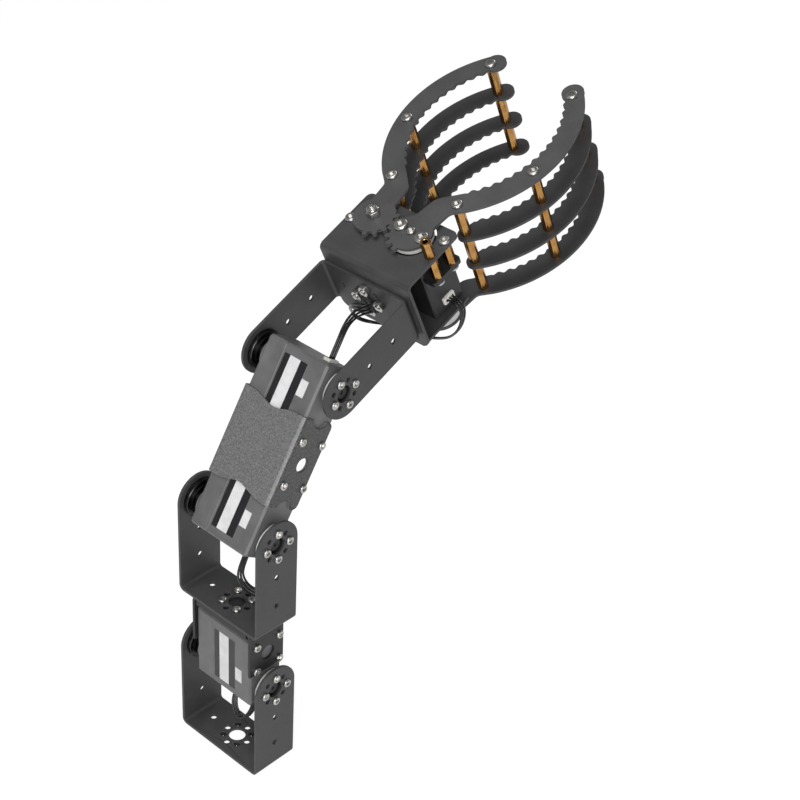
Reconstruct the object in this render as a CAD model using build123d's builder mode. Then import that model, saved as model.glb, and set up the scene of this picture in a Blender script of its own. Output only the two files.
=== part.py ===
"""Three-joint robot arm with a gripper claw, made of folded sheet brackets and four alike servos.

Millimetres. X runs along the shafts of the arm, +Z is up, and the origin is the centre of the
base bracket's underside. Each link has a frame at its joint axis, with its own X along the
shaft, its own Y across the thickness of the servo and its own Z along the reach of the link.
"""

import os
from math import acos, cos, degrees, radians, sin, tan

from build123d import *

os.makedirs("parts", exist_ok=True)

# Sheet metal
SHEET = 1.5
BEND = 3.0  # outside radius of a fold
TWIN_BEND = 2.5

# Servo case, measured from its shaft axis
CASE_LENGTH = 37.5  # along the shaft
CASE_THICKNESS = 20.0
CASE_NEAR = 9.8  # from the axis to the end with the plugs
CASE_FAR = 30.2
CASE_CHAMFER = 1.0
GEAR_CASE = 11.5  # length of the gear case, up to the seam
SEAM_GROOVE = 0.3
LABEL_RECESS = 0.3
LABEL_START = 0.9  # from the seam
LABEL_WIDTH = 14.4
LABEL_REACH = 29.8
LABEL_EDGE = 4.4  # from the near end
SIDE_SCREWS = (12.4, 27.0)  # from the axis
SIDE_SCREW_SPREAD = 14.5

# Discs at the two ends of each servo
OUTPUT_GAP = 8.1  # gear case to the outer face of the output disc
IDLER_GAP = 5.6
DISC_RADIUS = 10.0
DISC_THICKNESS = 2.6
DISC_STEP_RADIUS = 8.0
DISC_STEP = 1.2
OUTPUT_HUB_RADIUS = 6.0
IDLER_HUB_RADIUS = 5.5
BOSS_RADIUS = 8.6
BOSS_HEIGHT = 1.5
SHAFT_RADIUS = 2.9
SHAFT_IN_CASE = 9.0
IDLER_PIN_RADIUS = 4.0
FACE_GAP = 0.3  # between faces that turn past each other
RUNNING = 0.05  # radial clearance of shafts and pins
SNUG = 0.02

# U brackets, three alike
ARM_WIDTH = 25.0
AXIS_HEIGHT = 49.4  # shaft axis above the web's outside face
BOLT_CIRCLE = 7.0
BOLT_HOLE = 3.0
RING_HOLE = 2.6
CENTRE_HOLE = 8.4
ARM_HOLES = (15.1, 31.5)  # above the web's outside face
WEB_END_HOLES = 35.0

# Bracket that holds the first servo and carries the second U
MOUNT_HEIGHT = 36.85  # top face above the shoulder axis
MOUNT_LOW = 10.2
MOUNT_REAR = 10.0
MOUNT_LIP = 4.35
MOUNT_HOLE = 8.0
MOUNT_HOLE_REACH = 20.0

# Bracket that holds the second and third servo
LINK_LENGTH = 75.5  # elbow axis to wrist axis
TWIN_HEIGHT = 43.6
TWIN_REAR = 9.3
TWIN_WAVE = 3.0
TWIN_WAVE_WIDTH = 30.5
TWIN_NOTCH_RADIUS = 5.3
TWIN_NOTCH_DEPTH = 3.8
TWIN_CORNER = 3.0
TWIN_HOLE = 7.0

# Lean of the links in the rest pose, in degrees
MIDDLE_LEAN = 31.7
WRIST_LEAN = 64.3

# Flats that stand for round outlines which nothing turns on
DISC_SIDES = 48
HUB_SIDES = 24
CENTRE_SIDES = 20
HOLE_SIDES = 10

# Fasteners
HEAD_RADIUS = 2.3
HEAD_HEIGHT = 1.3
HEAD_SIDES = 8
PAN_RADIUS = 2.75
PAN_HEIGHT = 1.6
NUT_WIDTH = 5.5
NUT_HEIGHT = 2.4

# Finger plates, four to a finger, stacked on hexagon standoffs
DRIVE_SPACER = 4.3  # between the lower disc and the bottom finger plate
TOP_PLATE_FACE = -25.8  # upper face of the top finger plate, in the wrist frame
STANDOFF_WIDTH = 5.5
PIVOT_REACH = 74.4  # finger pivots beyond the wrist axis
GEAR_TEETH = 15
GEAR_MODULE = 1.56
PRESSURE_ANGLE = 20.0
GEAR_ROOT = 10.2
GEAR_TIP = 12.5
BACKLASH = 0.5  # degrees off each side of a tooth
DRIVE_AXIS = 11.85  # drive pivot, across the wrist frame
DRIVE_TEETH = (-84, -60, -36, -12, 12)
IDLER_TEETH = (-72, -48, -24, 0, 24)

# Finger outline, from its pivot: x outward, y forward
OUTER_CENTRE = (-26.0, 66.0)
OUTER_RADIUS = 59.5
OUTER_START = -47.3
OUTER_END = 45.7
INNER_CENTRE = (-26.6, 67.4)
INNER_RADIUS = 49.8
INNER_START = -47.6
INNER_END = 44.2
WAVES = 15
WAVE_DEPTH = 1.3
TIP_CENTRE = (12.1, 105.1)
TIP_RADIUS = 5.3
NECK_INNER = ((-5.6, 5.5), (-3.2, 21.0))
NECK_INNER_BEND = 7.0
NECK_OUTER = ((8.4, 17.4), (7.3, 5.5))
NECK_OUTER_BEND = 4.0
MIDDLE_PLATE_START = -51.5
MIDDLE_PLATE_END_RADIUS = 4.25
STANDOFF_PLACES = ((8.5, 22.8), (27.4, 55.5), (13.4, 102.9))

# Gripper frame
FRAME_WIDTH = 55.6
FRAME_DROP = 2.1  # under the top finger plate
FRAME_CASE_GAP = 0.6  # between the gripper servo and the lower plate
FRAME_NOSE = 12.1  # beyond the finger pivots
FRAME_LOWER_NOSE = 10.6
FRAME_STEP = 4.65  # inset of the lower plate on each side
FRAME_STEP_DEPTH = 2.9
FRAME_BACK_CORNER = 4.5
FRAME_CORNER = 3.0
DRIVE_OPENING = 22.0
HUB_CLEARANCE = 1.0

# Gripper servo ears and its standoffs
EAR_SPAN = 54.4
EAR_WIDTH = 19.0
EAR_THICKNESS = 2.5
EAR_SETBACK = 7.9  # from the gear case's face
EAR_CORNER = 2.0
EAR_HOLES = 49.5
EAR_HOLE_SPREAD = 10.0
STOP_POST = 10.0
POST_PIN_RADIUS = 1.4

# Finger pivots
PIVOT_RADIUS = 2.0
PIVOT_HEAD_RADIUS = 3.4
PIVOT_HEAD = 2.2
SPACER_WIDTH = 7.0
LOCK_NUT_WIDTH = 7.0
LOCK_NUT_HEIGHT = 4.6
LOCK_NUT_COLLAR = 1.2
DRIVE_SCREW_RADIUS = 3.4
DRIVE_SCREW_HEIGHT = 1.8
DRIVE_SCREW_ANGLE = -6.0

# Plugs and leads
PLUG_WIDTH = 9.0
PLUG_DEPTH = 6.6
PLUG_LENGTH = 4.0
PLUG_FROM_MIDDLE = 12.8
LEAD_RADIUS = 1.6
LEAD_SIDES = 8
LEAD_EXIT = 5.0  # straight run out of a plug
TIGHT_EXIT = 2.2

# Places that follow from the sizes above
ARM_INSIDE = (CASE_LENGTH + OUTPUT_GAP + IDLER_GAP) / 2
ARM_OUTSIDE = ARM_INSIDE + SHEET
OUTPUT_FACE = OUTPUT_GAP - ARM_INSIDE
IDLER_FACE = OUTPUT_FACE + CASE_LENGTH
SEAM = OUTPUT_FACE + GEAR_CASE
CASE_REACH = CASE_NEAR + CASE_FAR
CASE_CENTRE = (CASE_FAR - CASE_NEAR) / 2
CASE_FRONT = -CASE_THICKNESS / 2
BRACKET_FRONT = CASE_FRONT - SHEET
BRACKET_LEFT = OUTPUT_FACE - SHEET
BRACKET_RIGHT = IDLER_FACE + SHEET
BRACKET_CENTRE = (BRACKET_LEFT + BRACKET_RIGHT) / 2
ARM_END = ARM_WIDTH / 2
WEB = -AXIS_HEIGHT
TWIN_LOW = (LINK_LENGTH - TWIN_HEIGHT) / 2
TWIN_HIGH = (LINK_LENGTH + TWIN_HEIGHT) / 2
PITCH_RADIUS = GEAR_MODULE * GEAR_TEETH / 2
IDLER_AXIS = DRIVE_AXIS - 2 * PITCH_RADIUS
TIER = (2 * ARM_INSIDE + DRIVE_SPACER - 2 * SHEET) / 3  # length of a standoff
PLATE_FACES = tuple(TOP_PLATE_FACE + k * (TIER + SHEET) for k in range(4))
SERVO_MIDDLE = TOP_PLATE_FACE + SHEET + ARM_INSIDE
FRAME_CENTRE = DRIVE_AXIS - CASE_CENTRE


def link_frame(origin, lean):
    """Frame of a link that leans forward by lean degrees."""
    tilt = radians(lean)
    return Plane(origin=origin, x_dir=(1, 0, 0), z_dir=(0, sin(tilt), cos(tilt)))


def beyond(frame, x=0.0, y=0.0, z=0.0):
    """A point given in the frame's own directions."""
    return frame.origin + frame.x_dir * x + frame.y_dir * y + frame.z_dir * z


def turned_over(frame):
    """The same axis with the reach pointing the other way."""
    return Plane(origin=frame.origin, x_dir=frame.x_dir, z_dir=-frame.z_dir)


def across(frame, x):
    """Plane square to the shaft: its X is the frame's thickness, its Y the frame's reach."""
    return Plane(origin=beyond(frame, x=x), x_dir=frame.y_dir, z_dir=frame.x_dir)


def facing(frame, y):
    """Plane square to the thickness, with its normal to the front: its Y is the frame's reach."""
    return Plane(origin=beyond(frame, y=y), x_dir=frame.x_dir, z_dir=-frame.y_dir)


def write(piece, name):
    """Label a finished piece and write it as one file."""
    piece.label = name
    export_step(piece, f"parts/{name}.step")


SHOULDER = link_frame((0, 0, AXIS_HEIGHT), 0)
ELBOW_UPRIGHT = link_frame(beyond(SHOULDER, z=MOUNT_HEIGHT + AXIS_HEIGHT), 0)
ELBOW = link_frame(ELBOW_UPRIGHT.origin, MIDDLE_LEAN)
WRIST_BELOW = turned_over(link_frame(beyond(ELBOW, z=LINK_LENGTH), MIDDLE_LEAN))
WRIST = link_frame(WRIST_BELOW.origin, WRIST_LEAN)
GRIPPER_SERVO = Plane(
    origin=beyond(WRIST, x=DRIVE_AXIS, y=SERVO_MIDDLE, z=PIVOT_REACH),
    x_dir=WRIST.y_dir,
    z_dir=-WRIST.x_dir,
)

def prisms(plane, places, radius, sides, height):
    """Group of equal prisms standing on a plane: screw heads, nuts or hexagon bars."""
    with BuildPart() as group:
        with BuildSketch(plane):
            with Locations(*places):
                RegularPolygon(radius=radius, side_count=sides, major_radius=False)
        extrude(amount=height)
    return group.part


def cross_places(radius):
    """Four places on a circle, in line with the axes."""
    return [(radius, 0), (0, radius), (-radius, 0), (0, -radius)]


def diagonal_places(radius):
    """Four places on a circle, between the axes."""
    step = radius * cos(radians(45))
    return [(step, step), (-step, step), (-step, -step), (step, -step)]


# U brackets


def u_bracket(frame, bolt_holes, open_holes):
    """U of folded sheet that clamps the two discs of a servo, its web below the axis."""
    with BuildPart() as bracket:
        with BuildSketch(facing(frame, -ARM_WIDTH / 2)):
            with BuildLine():
                outside = FilletPolyline(
                    (-ARM_OUTSIDE, ARM_END),
                    (-ARM_OUTSIDE, WEB),
                    (ARM_OUTSIDE, WEB),
                    (ARM_OUTSIDE, ARM_END),
                    radius=BEND,
                )
                inside = FilletPolyline(
                    (-ARM_INSIDE, ARM_END),
                    (-ARM_INSIDE, WEB + SHEET),
                    (ARM_INSIDE, WEB + SHEET),
                    (ARM_INSIDE, ARM_END),
                    radius=BEND - SHEET,
                )
                Line(outside @ 0, inside @ 0)
                Line(outside @ 1, inside @ 1)
            make_face()
        extrude(amount=-ARM_WIDTH)
        with BuildSketch(across(frame, -ARM_OUTSIDE)):
            Circle(ARM_WIDTH / 2)
            with Locations((0, WEB / 2)):
                Rectangle(ARM_WIDTH, AXIS_HEIGHT)
        extrude(amount=2 * ARM_OUTSIDE, mode=Mode.INTERSECT)
        with BuildSketch(across(frame, -ARM_OUTSIDE)):
            RegularPolygon(radius=CENTRE_HOLE / 2, side_count=CENTRE_SIDES)
            with Locations(*diagonal_places(BOLT_CIRCLE)):
                RegularPolygon(radius=RING_HOLE / 2, side_count=HOLE_SIDES)
            with Locations(*[(0, WEB + height) for height in ARM_HOLES]):
                RegularPolygon(radius=BOLT_HOLE / 2, side_count=HOLE_SIDES)
        extrude(amount=2 * ARM_OUTSIDE, mode=Mode.SUBTRACT)
        with BuildSketch(frame.offset(WEB)):
            RegularPolygon(radius=CENTRE_HOLE / 2, side_count=CENTRE_SIDES)
            if bolt_holes:
                with Locations(*bolt_holes):
                    Circle(BOLT_HOLE / 2)
            if open_holes:
                with Locations(*open_holes):
                    RegularPolygon(radius=BOLT_HOLE / 2, side_count=HOLE_SIDES)
        extrude(amount=SHEET, mode=Mode.SUBTRACT)
    return bracket.part


def disc_screws(frame):
    """Heads of the screws that hold both arms of a U bracket to the servo's discs."""
    with BuildPart() as heads:
        for face, way in ((-ARM_OUTSIDE, -1), (ARM_OUTSIDE, 1)):
            with BuildSketch(across(frame, face)):
                with Locations(*cross_places(BOLT_CIRCLE)):
                    RegularPolygon(radius=HEAD_RADIUS, side_count=HEAD_SIDES)
            extrude(amount=way * HEAD_HEIGHT)
    return heads.part


# Servos


def case_block(frame, start, length):
    """Chamfered block of the servo case, from start along the shaft."""
    with BuildPart() as block:
        with BuildSketch(across(frame, start)):
            with Locations((0, CASE_CENTRE)):
                Rectangle(CASE_THICKNESS, CASE_REACH)
        extrude(amount=length)
        chamfer(block.edges().filter_by(Axis(frame.origin, frame.x_dir)), length=CASE_CHAMFER)
        ends = block.faces().sort_by(Axis(frame.origin, frame.x_dir))
        gear_end = start == OUTPUT_FACE
        chamfer(ends[0].edges(), length=CASE_CHAMFER if gear_end else SEAM_GROOVE)
        chamfer(ends[-1].edges(), length=SEAM_GROOVE if gear_end else CASE_CHAMFER)
    return block.part


def gear_case(frame, ears=False):
    """Output end of the servo case, with the boss that the shaft runs in."""
    with BuildPart() as case:
        add(case_block(frame, OUTPUT_FACE, GEAR_CASE))
        with BuildSketch(across(frame, OUTPUT_FACE)):
            RegularPolygon(radius=BOSS_RADIUS, side_count=DISC_SIDES)
        extrude(amount=-BOSS_HEIGHT)
        if ears:
            with BuildSketch(across(frame, OUTPUT_FACE + EAR_SETBACK)):
                with Locations((0, CASE_CENTRE)):
                    RectangleRounded(EAR_WIDTH, EAR_SPAN, EAR_CORNER)
            extrude(amount=EAR_THICKNESS)
        with BuildSketch(across(frame, OUTPUT_FACE - BOSS_HEIGHT)):
            Circle(SHAFT_RADIUS + RUNNING)
        extrude(amount=BOSS_HEIGHT + SHAFT_IN_CASE + FACE_GAP, mode=Mode.SUBTRACT)
    return case.part


def body_case(frame, label=1):
    """Motor end of the servo case, with the idler pin and a label recess, in the rear if -1."""
    label_frame = frame if label == 1 else turned_over(frame)
    label_middle = LABEL_EDGE - CASE_NEAR + LABEL_REACH / 2
    with BuildPart() as case:
        add(case_block(frame, SEAM, CASE_LENGTH - GEAR_CASE))
        with BuildSketch(facing(label_frame, CASE_FRONT)):
            with Locations((SEAM + LABEL_START, label * label_middle)):
                Rectangle(LABEL_WIDTH, LABEL_REACH, align=(Align.MIN, Align.CENTER))
        extrude(amount=-LABEL_RECESS, mode=Mode.SUBTRACT)
        with BuildSketch(across(frame, IDLER_FACE)):
            Circle(IDLER_PIN_RADIUS)
        extrude(amount=IDLER_GAP - DISC_STEP)
    return case.part


HUB_END = OUTPUT_FACE - BOSS_HEIGHT - FACE_GAP


def output_disc(frame):
    """Stepped disc on the output shaft, clamped to one arm."""
    with BuildPart() as disc:
        with BuildSketch(across(frame, -ARM_INSIDE)):
            RegularPolygon(radius=DISC_RADIUS, side_count=DISC_SIDES)
        extrude(amount=DISC_THICKNESS)
        with BuildSketch(across(frame, DISC_THICKNESS - ARM_INSIDE)):
            RegularPolygon(radius=DISC_STEP_RADIUS, side_count=HUB_SIDES)
        extrude(amount=DISC_STEP)
        with BuildSketch(across(frame, HUB_END)):
            RegularPolygon(radius=OUTPUT_HUB_RADIUS, side_count=HUB_SIDES)
        extrude(amount=-(HUB_END + ARM_INSIDE - DISC_THICKNESS))
    return disc.part


def output_shaft(frame):
    """Shaft from the disc's hub into the gear case."""
    with BuildPart() as shaft:
        with BuildSketch(across(frame, HUB_END)):
            Circle(SHAFT_RADIUS)
        extrude(amount=OUTPUT_FACE + SHAFT_IN_CASE - HUB_END)
    return shaft.part


def idler_disc(frame):
    """Disc that turns on the case's idler pin, clamped to the other arm."""
    with BuildPart() as disc:
        with BuildSketch(across(frame, ARM_INSIDE)):
            RegularPolygon(radius=DISC_RADIUS, side_count=DISC_SIDES)
        extrude(amount=-DISC_THICKNESS)
        with BuildSketch(across(frame, IDLER_FACE + FACE_GAP)):
            RegularPolygon(radius=IDLER_HUB_RADIUS, side_count=HUB_SIDES)
        extrude(amount=ARM_INSIDE - DISC_THICKNESS - IDLER_FACE - FACE_GAP)
        with BuildSketch(across(frame, IDLER_FACE + FACE_GAP)):
            Circle(IDLER_PIN_RADIUS + RUNNING)
        extrude(amount=IDLER_GAP - DISC_STEP, mode=Mode.SUBTRACT)
    return disc.part


def plug(frame):
    """White plug on the near end of a servo case."""
    with BuildPart() as body:
        with BuildSketch(frame.offset(-CASE_NEAR)):
            with Locations((PLUG_FROM_MIDDLE, 0)):
                Rectangle(PLUG_DEPTH, PLUG_WIDTH)
        extrude(amount=-PLUG_LENGTH)
    return body.part


for joint, frame, label in (
    ("shoulder", SHOULDER, 1),
    ("elbow", ELBOW, 1),
    ("wrist", WRIST_BELOW, -1),
    ("gripper", GRIPPER_SERVO, 1),
):
    write(gear_case(frame, ears=joint == "gripper"), f"{joint}_servo_gear_case")
    write(body_case(frame, label), f"{joint}_servo_body_case")
    write(output_disc(frame), f"{joint}_output_disc")
    write(output_shaft(frame), f"{joint}_output_shaft")
    write(idler_disc(frame), f"{joint}_idler_disc")
    write(plug(frame), f"{joint}_servo_plug")

WEB_RING = cross_places(BOLT_CIRCLE)
WEB_DIAGONAL = diagonal_places(BOLT_CIRCLE)
WRIST_BRACKET = turned_over(WRIST)
WEB_ENDS = [(-WEB_END_HOLES / 2, 0), (WEB_END_HOLES / 2, 0)]
for bracket, joint, frame, bolt_holes, open_holes in (
    ("base_bracket", "shoulder", SHOULDER, WEB_RING + WEB_DIAGONAL + WEB_ENDS, []),
    ("link_bracket", "elbow", ELBOW_UPRIGHT, [], WEB_RING + WEB_ENDS),
    ("wrist_bracket", "wrist", WRIST_BRACKET, [], WEB_DIAGONAL + WEB_ENDS),
):
    write(u_bracket(frame, bolt_holes, open_holes), bracket)
    write(disc_screws(frame), f"{joint}_disc_screws")


# Bracket of the first servo


def side_heads(frame, places):
    """Screw heads on both side plates of a servo's bracket."""
    with BuildPart() as heads:
        for face, way in ((BRACKET_LEFT, -1), (BRACKET_RIGHT, 1)):
            with BuildSketch(across(frame, face)):
                with Locations(*places):
                    RegularPolygon(radius=HEAD_RADIUS, side_count=HEAD_SIDES)
            extrude(amount=way * HEAD_HEIGHT)
    return heads.part


SPREAD = SIDE_SCREW_SPREAD / 2

with BuildPart() as servo_mount:
    with BuildSketch(facing(SHOULDER, BRACKET_FRONT)):
        with BuildLine():
            outside = FilletPolyline(
                (BRACKET_LEFT, MOUNT_LOW),
                (BRACKET_LEFT, MOUNT_HEIGHT),
                (BRACKET_RIGHT, MOUNT_HEIGHT),
                (BRACKET_RIGHT, MOUNT_LOW),
                radius=BEND,
            )
            inside = FilletPolyline(
                (OUTPUT_FACE, MOUNT_LOW),
                (OUTPUT_FACE, MOUNT_HEIGHT - SHEET),
                (IDLER_FACE, MOUNT_HEIGHT - SHEET),
                (IDLER_FACE, MOUNT_LOW),
                radius=BEND - SHEET,
            )
            Line(outside @ 0, inside @ 0)
            Line(outside @ 1, inside @ 1)
        make_face()
    extrude(amount=BRACKET_FRONT - MOUNT_REAR)
    with BuildSketch(facing(SHOULDER, BRACKET_FRONT)):
        with Locations((BRACKET_CENTRE, MOUNT_HEIGHT - MOUNT_LIP / 2)):
            Rectangle(CASE_LENGTH - 2 * (BEND - SHEET), MOUNT_LIP)
    extrude(amount=-SHEET)
    with BuildSketch(across(SHOULDER, BRACKET_LEFT)):
        with Locations((0, MOUNT_HOLE_REACH)):
            RegularPolygon(radius=MOUNT_HOLE / 2, side_count=CENTRE_SIDES)
    extrude(amount=BRACKET_RIGHT - BRACKET_LEFT, mode=Mode.SUBTRACT)
write(servo_mount.part, "servo_mount_bracket")
write(
    side_heads(SHOULDER, [(side, reach) for side in (-SPREAD, SPREAD) for reach in SIDE_SCREWS]),
    "servo_mount_screws",
)
write(
    prisms(ELBOW_UPRIGHT.offset(WEB + SHEET), WEB_DIAGONAL, HEAD_RADIUS, HEAD_SIDES, HEAD_HEIGHT),
    "link_screws",
)
write(
    prisms(SHOULDER.offset(MOUNT_HEIGHT - SHEET), WEB_DIAGONAL, NUT_WIDTH / 2, 6, -NUT_HEIGHT),
    "link_nuts",
)

# Twin bracket of the second and third servo

with BuildPart() as twin_bracket:
    with BuildSketch(ELBOW.offset(TWIN_LOW)):
        with BuildLine():
            outside = FilletPolyline(
                (BRACKET_LEFT, TWIN_REAR),
                (BRACKET_LEFT, BRACKET_FRONT),
                (BRACKET_RIGHT, BRACKET_FRONT),
                (BRACKET_RIGHT, TWIN_REAR),
                radius=TWIN_BEND,
            )
            inside = FilletPolyline(
                (OUTPUT_FACE, TWIN_REAR),
                (OUTPUT_FACE, CASE_FRONT),
                (IDLER_FACE, CASE_FRONT),
                (IDLER_FACE, TWIN_REAR),
                radius=TWIN_BEND - SHEET,
            )
            Line(outside @ 0, inside @ 0)
            Line(outside @ 1, inside @ 1)
        make_face()
    extrude(amount=TWIN_HEIGHT)
    corners = twin_bracket.edges().filter_by(Axis.X)
    fillet(corners.group_by(Axis(ELBOW.origin, ELBOW.y_dir))[-1], radius=TWIN_CORNER)
    with BuildSketch(facing(ELBOW, BRACKET_FRONT)):
        for edge, dip in ((TWIN_HIGH, -TWIN_WAVE), (TWIN_LOW, TWIN_WAVE)):
            with BuildLine():
                wave = Spline(
                    (BRACKET_CENTRE - TWIN_WAVE_WIDTH / 2, edge),
                    (BRACKET_CENTRE, edge + dip),
                    (BRACKET_CENTRE + TWIN_WAVE_WIDTH / 2, edge),
                    tangents=[(1, 0), (1, 0)],
                )
                Line(wave @ 0, wave @ 1)
            make_face()
    extrude(amount=-SHEET, mode=Mode.SUBTRACT)
    with BuildSketch(across(ELBOW, BRACKET_LEFT)):
        notch = TWIN_NOTCH_RADIUS - TWIN_NOTCH_DEPTH
        with Locations((0, TWIN_LOW - notch), (0, TWIN_HIGH + notch)):
            Circle(TWIN_NOTCH_RADIUS)
        with Locations((0, LINK_LENGTH / 2)):
            RegularPolygon(radius=TWIN_HOLE / 2, side_count=CENTRE_SIDES)
    extrude(amount=BRACKET_RIGHT - BRACKET_LEFT, mode=Mode.SUBTRACT)
write(twin_bracket.part, "twin_servo_bracket")
twin_rows = (SIDE_SCREWS[1], LINK_LENGTH - SIDE_SCREWS[1])
write(
    side_heads(ELBOW, [(side, reach) for side in (-SPREAD, SPREAD) for reach in twin_rows]),
    "twin_bracket_screws",
)

# Gripper frame, a folded channel bolted to the web of the wrist bracket

FRAME_LEFT = FRAME_CENTRE - FRAME_WIDTH / 2
FRAME_RIGHT = FRAME_CENTRE + FRAME_WIDTH / 2
TAB_LEFT = FRAME_LEFT + FRAME_STEP
TAB_RIGHT = FRAME_RIGHT - FRAME_STEP
FRAME_TOP = PLATE_FACES[0] + SHEET + FRAME_DROP
FRAME_BOTTOM = SERVO_MIDDLE + IDLER_FACE + FRAME_CASE_GAP + SHEET
FRAME_BACK = AXIS_HEIGHT
FRAME_FRONT = PIVOT_REACH + FRAME_NOSE
FRAME_LOWER_FRONT = PIVOT_REACH + FRAME_LOWER_NOSE
FRAME_BACK_DEPTH = FRAME_BOTTOM - FRAME_STEP_DEPTH
BACK_CORNER = min(FRAME_BACK_CORNER, FRAME_STEP - 0.1)

with BuildPart() as gripper_frame:
    with BuildSketch(across(WRIST, FRAME_LEFT)):
        with BuildLine():
            outside = FilletPolyline(
                (FRAME_TOP, FRAME_FRONT),
                (FRAME_TOP, FRAME_BACK),
                (FRAME_BOTTOM, FRAME_BACK),
                (FRAME_BOTTOM, FRAME_LOWER_FRONT),
                radius=BEND,
            )
            inside = FilletPolyline(
                (FRAME_TOP + SHEET, FRAME_FRONT),
                (FRAME_TOP + SHEET, FRAME_BACK + SHEET),
                (FRAME_BOTTOM - SHEET, FRAME_BACK + SHEET),
                (FRAME_BOTTOM - SHEET, FRAME_LOWER_FRONT),
                radius=BEND - SHEET,
            )
            Line(outside @ 0, inside @ 0)
            Line(outside @ 1, inside @ 1)
        make_face()
    extrude(amount=FRAME_WIDTH)
    with BuildSketch(WRIST.offset(FRAME_BACK)):
        with BuildLine():
            FilletPolyline(
                (FRAME_LEFT, FRAME_TOP),
                (FRAME_RIGHT, FRAME_TOP),
                (FRAME_RIGHT, FRAME_BACK_DEPTH),
                (TAB_RIGHT, FRAME_BACK_DEPTH),
                (TAB_RIGHT, FRAME_BOTTOM),
                (TAB_LEFT, FRAME_BOTTOM),
                (TAB_LEFT, FRAME_BACK_DEPTH),
                (FRAME_LEFT, FRAME_BACK_DEPTH),
                radius=(0, 0, BACK_CORNER, 0, 0, 0, 0, BACK_CORNER),
                close=True,
            )
        make_face()
    extrude(amount=FRAME_FRONT - FRAME_BACK, mode=Mode.INTERSECT)
    front_edges = gripper_frame.edges().filter_by(Axis(WRIST.origin, WRIST.y_dir))
    fillet(front_edges.sort_by(Axis(WRIST.origin, WRIST.z_dir))[-4:], radius=FRAME_CORNER)
    with BuildSketch(facing(WRIST, FRAME_TOP)):
        with Locations((DRIVE_AXIS, PIVOT_REACH)):
            RegularPolygon(radius=DRIVE_OPENING / 2, side_count=DISC_SIDES)
        with Locations((IDLER_AXIS, PIVOT_REACH)):
            Circle(PIVOT_RADIUS + SNUG)
        with Locations((FRAME_CENTRE + EAR_HOLES / 2, PIVOT_REACH - EAR_HOLE_SPREAD / 2)):
            Circle(POST_PIN_RADIUS + SNUG)
    extrude(amount=-SHEET, mode=Mode.SUBTRACT)
    with BuildSketch(facing(WRIST, FRAME_BOTTOM)):
        with Locations((DRIVE_AXIS, PIVOT_REACH)):
            RegularPolygon(radius=IDLER_HUB_RADIUS + HUB_CLEARANCE, side_count=HUB_SIDES)
        with Locations((IDLER_AXIS, PIVOT_REACH)):
            Circle(PIVOT_RADIUS + SNUG)
    extrude(amount=SHEET, mode=Mode.SUBTRACT)
write(gripper_frame.part, "gripper_frame")
write(
    prisms(WRIST.offset(FRAME_BACK + SHEET), WEB_RING, HEAD_RADIUS, HEAD_SIDES, HEAD_HEIGHT),
    "frame_screws",
)
write(
    prisms(WRIST.offset(AXIS_HEIGHT - SHEET), WEB_RING, NUT_WIDTH / 2, 6, -NUT_HEIGHT),
    "frame_nuts",
)

# Standoffs that hang the gripper servo from the top plate, and the stop post above it

EAR_FACE = SERVO_MIDDLE + OUTPUT_FACE + EAR_SETBACK
STANDOFF_TOP = FRAME_TOP + SHEET
EAR_PLACES = [
    (FRAME_CENTRE + side * EAR_HOLES / 2, PIVOT_REACH + end * EAR_HOLE_SPREAD / 2)
    for side in (-1, 1)
    for end in (-1, 1)
]
POST_PLACE = EAR_PLACES[2]
PAN_PLACES = [place for place in EAR_PLACES if place != POST_PLACE]

with BuildPart() as servo_standoffs:
    with BuildSketch(facing(WRIST, STANDOFF_TOP)):
        with Locations(*EAR_PLACES):
            RegularPolygon(radius=STANDOFF_WIDTH / 2, side_count=6, major_radius=False)
    extrude(amount=STANDOFF_TOP - EAR_FACE)
write(servo_standoffs.part, "servo_standoffs")

with BuildPart() as stop_post:
    with BuildSketch(facing(WRIST, FRAME_TOP)):
        with Locations(POST_PLACE):
            RegularPolygon(radius=STANDOFF_WIDTH / 2, side_count=6, major_radius=False)
    extrude(amount=STOP_POST)
    with BuildSketch(facing(WRIST, FRAME_TOP)):
        with Locations(POST_PLACE):
            Circle(POST_PIN_RADIUS)
    extrude(amount=-SHEET)
write(stop_post.part, "stop_post")

with BuildPart() as servo_screws:
    with BuildSketch(facing(WRIST, FRAME_TOP)):
        with Locations(*PAN_PLACES):
            RegularPolygon(radius=PAN_RADIUS, side_count=HEAD_SIDES)
    extrude(amount=PAN_HEIGHT)
    with BuildSketch(facing(WRIST, EAR_FACE + EAR_THICKNESS)):
        with Locations(*EAR_PLACES):
            RegularPolygon(radius=PAN_RADIUS, side_count=HEAD_SIDES)
    extrude(amount=-PAN_HEIGHT)
write(servo_screws.part, "servo_screws")

# Pivots of the idler finger

UPPER_FACE = PLATE_FACES[0]
LOWER_FACE = PLATE_FACES[3] + SHEET
IDLER_PLACE = (IDLER_AXIS, PIVOT_REACH)

with BuildPart() as upper_bolt:
    with BuildSketch(facing(WRIST, STANDOFF_TOP + PIVOT_HEAD)):
        with Locations(IDLER_PLACE):
            RegularPolygon(radius=PIVOT_HEAD_RADIUS, side_count=HUB_SIDES)
    extrude(amount=PIVOT_HEAD)
    with BuildSketch(facing(WRIST, STANDOFF_TOP)):
        with Locations(IDLER_PLACE):
            Circle(PIVOT_RADIUS)
    extrude(amount=STANDOFF_TOP - UPPER_FACE + RUNNING)
write(upper_bolt.part, "upper_pivot_bolt")

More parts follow.
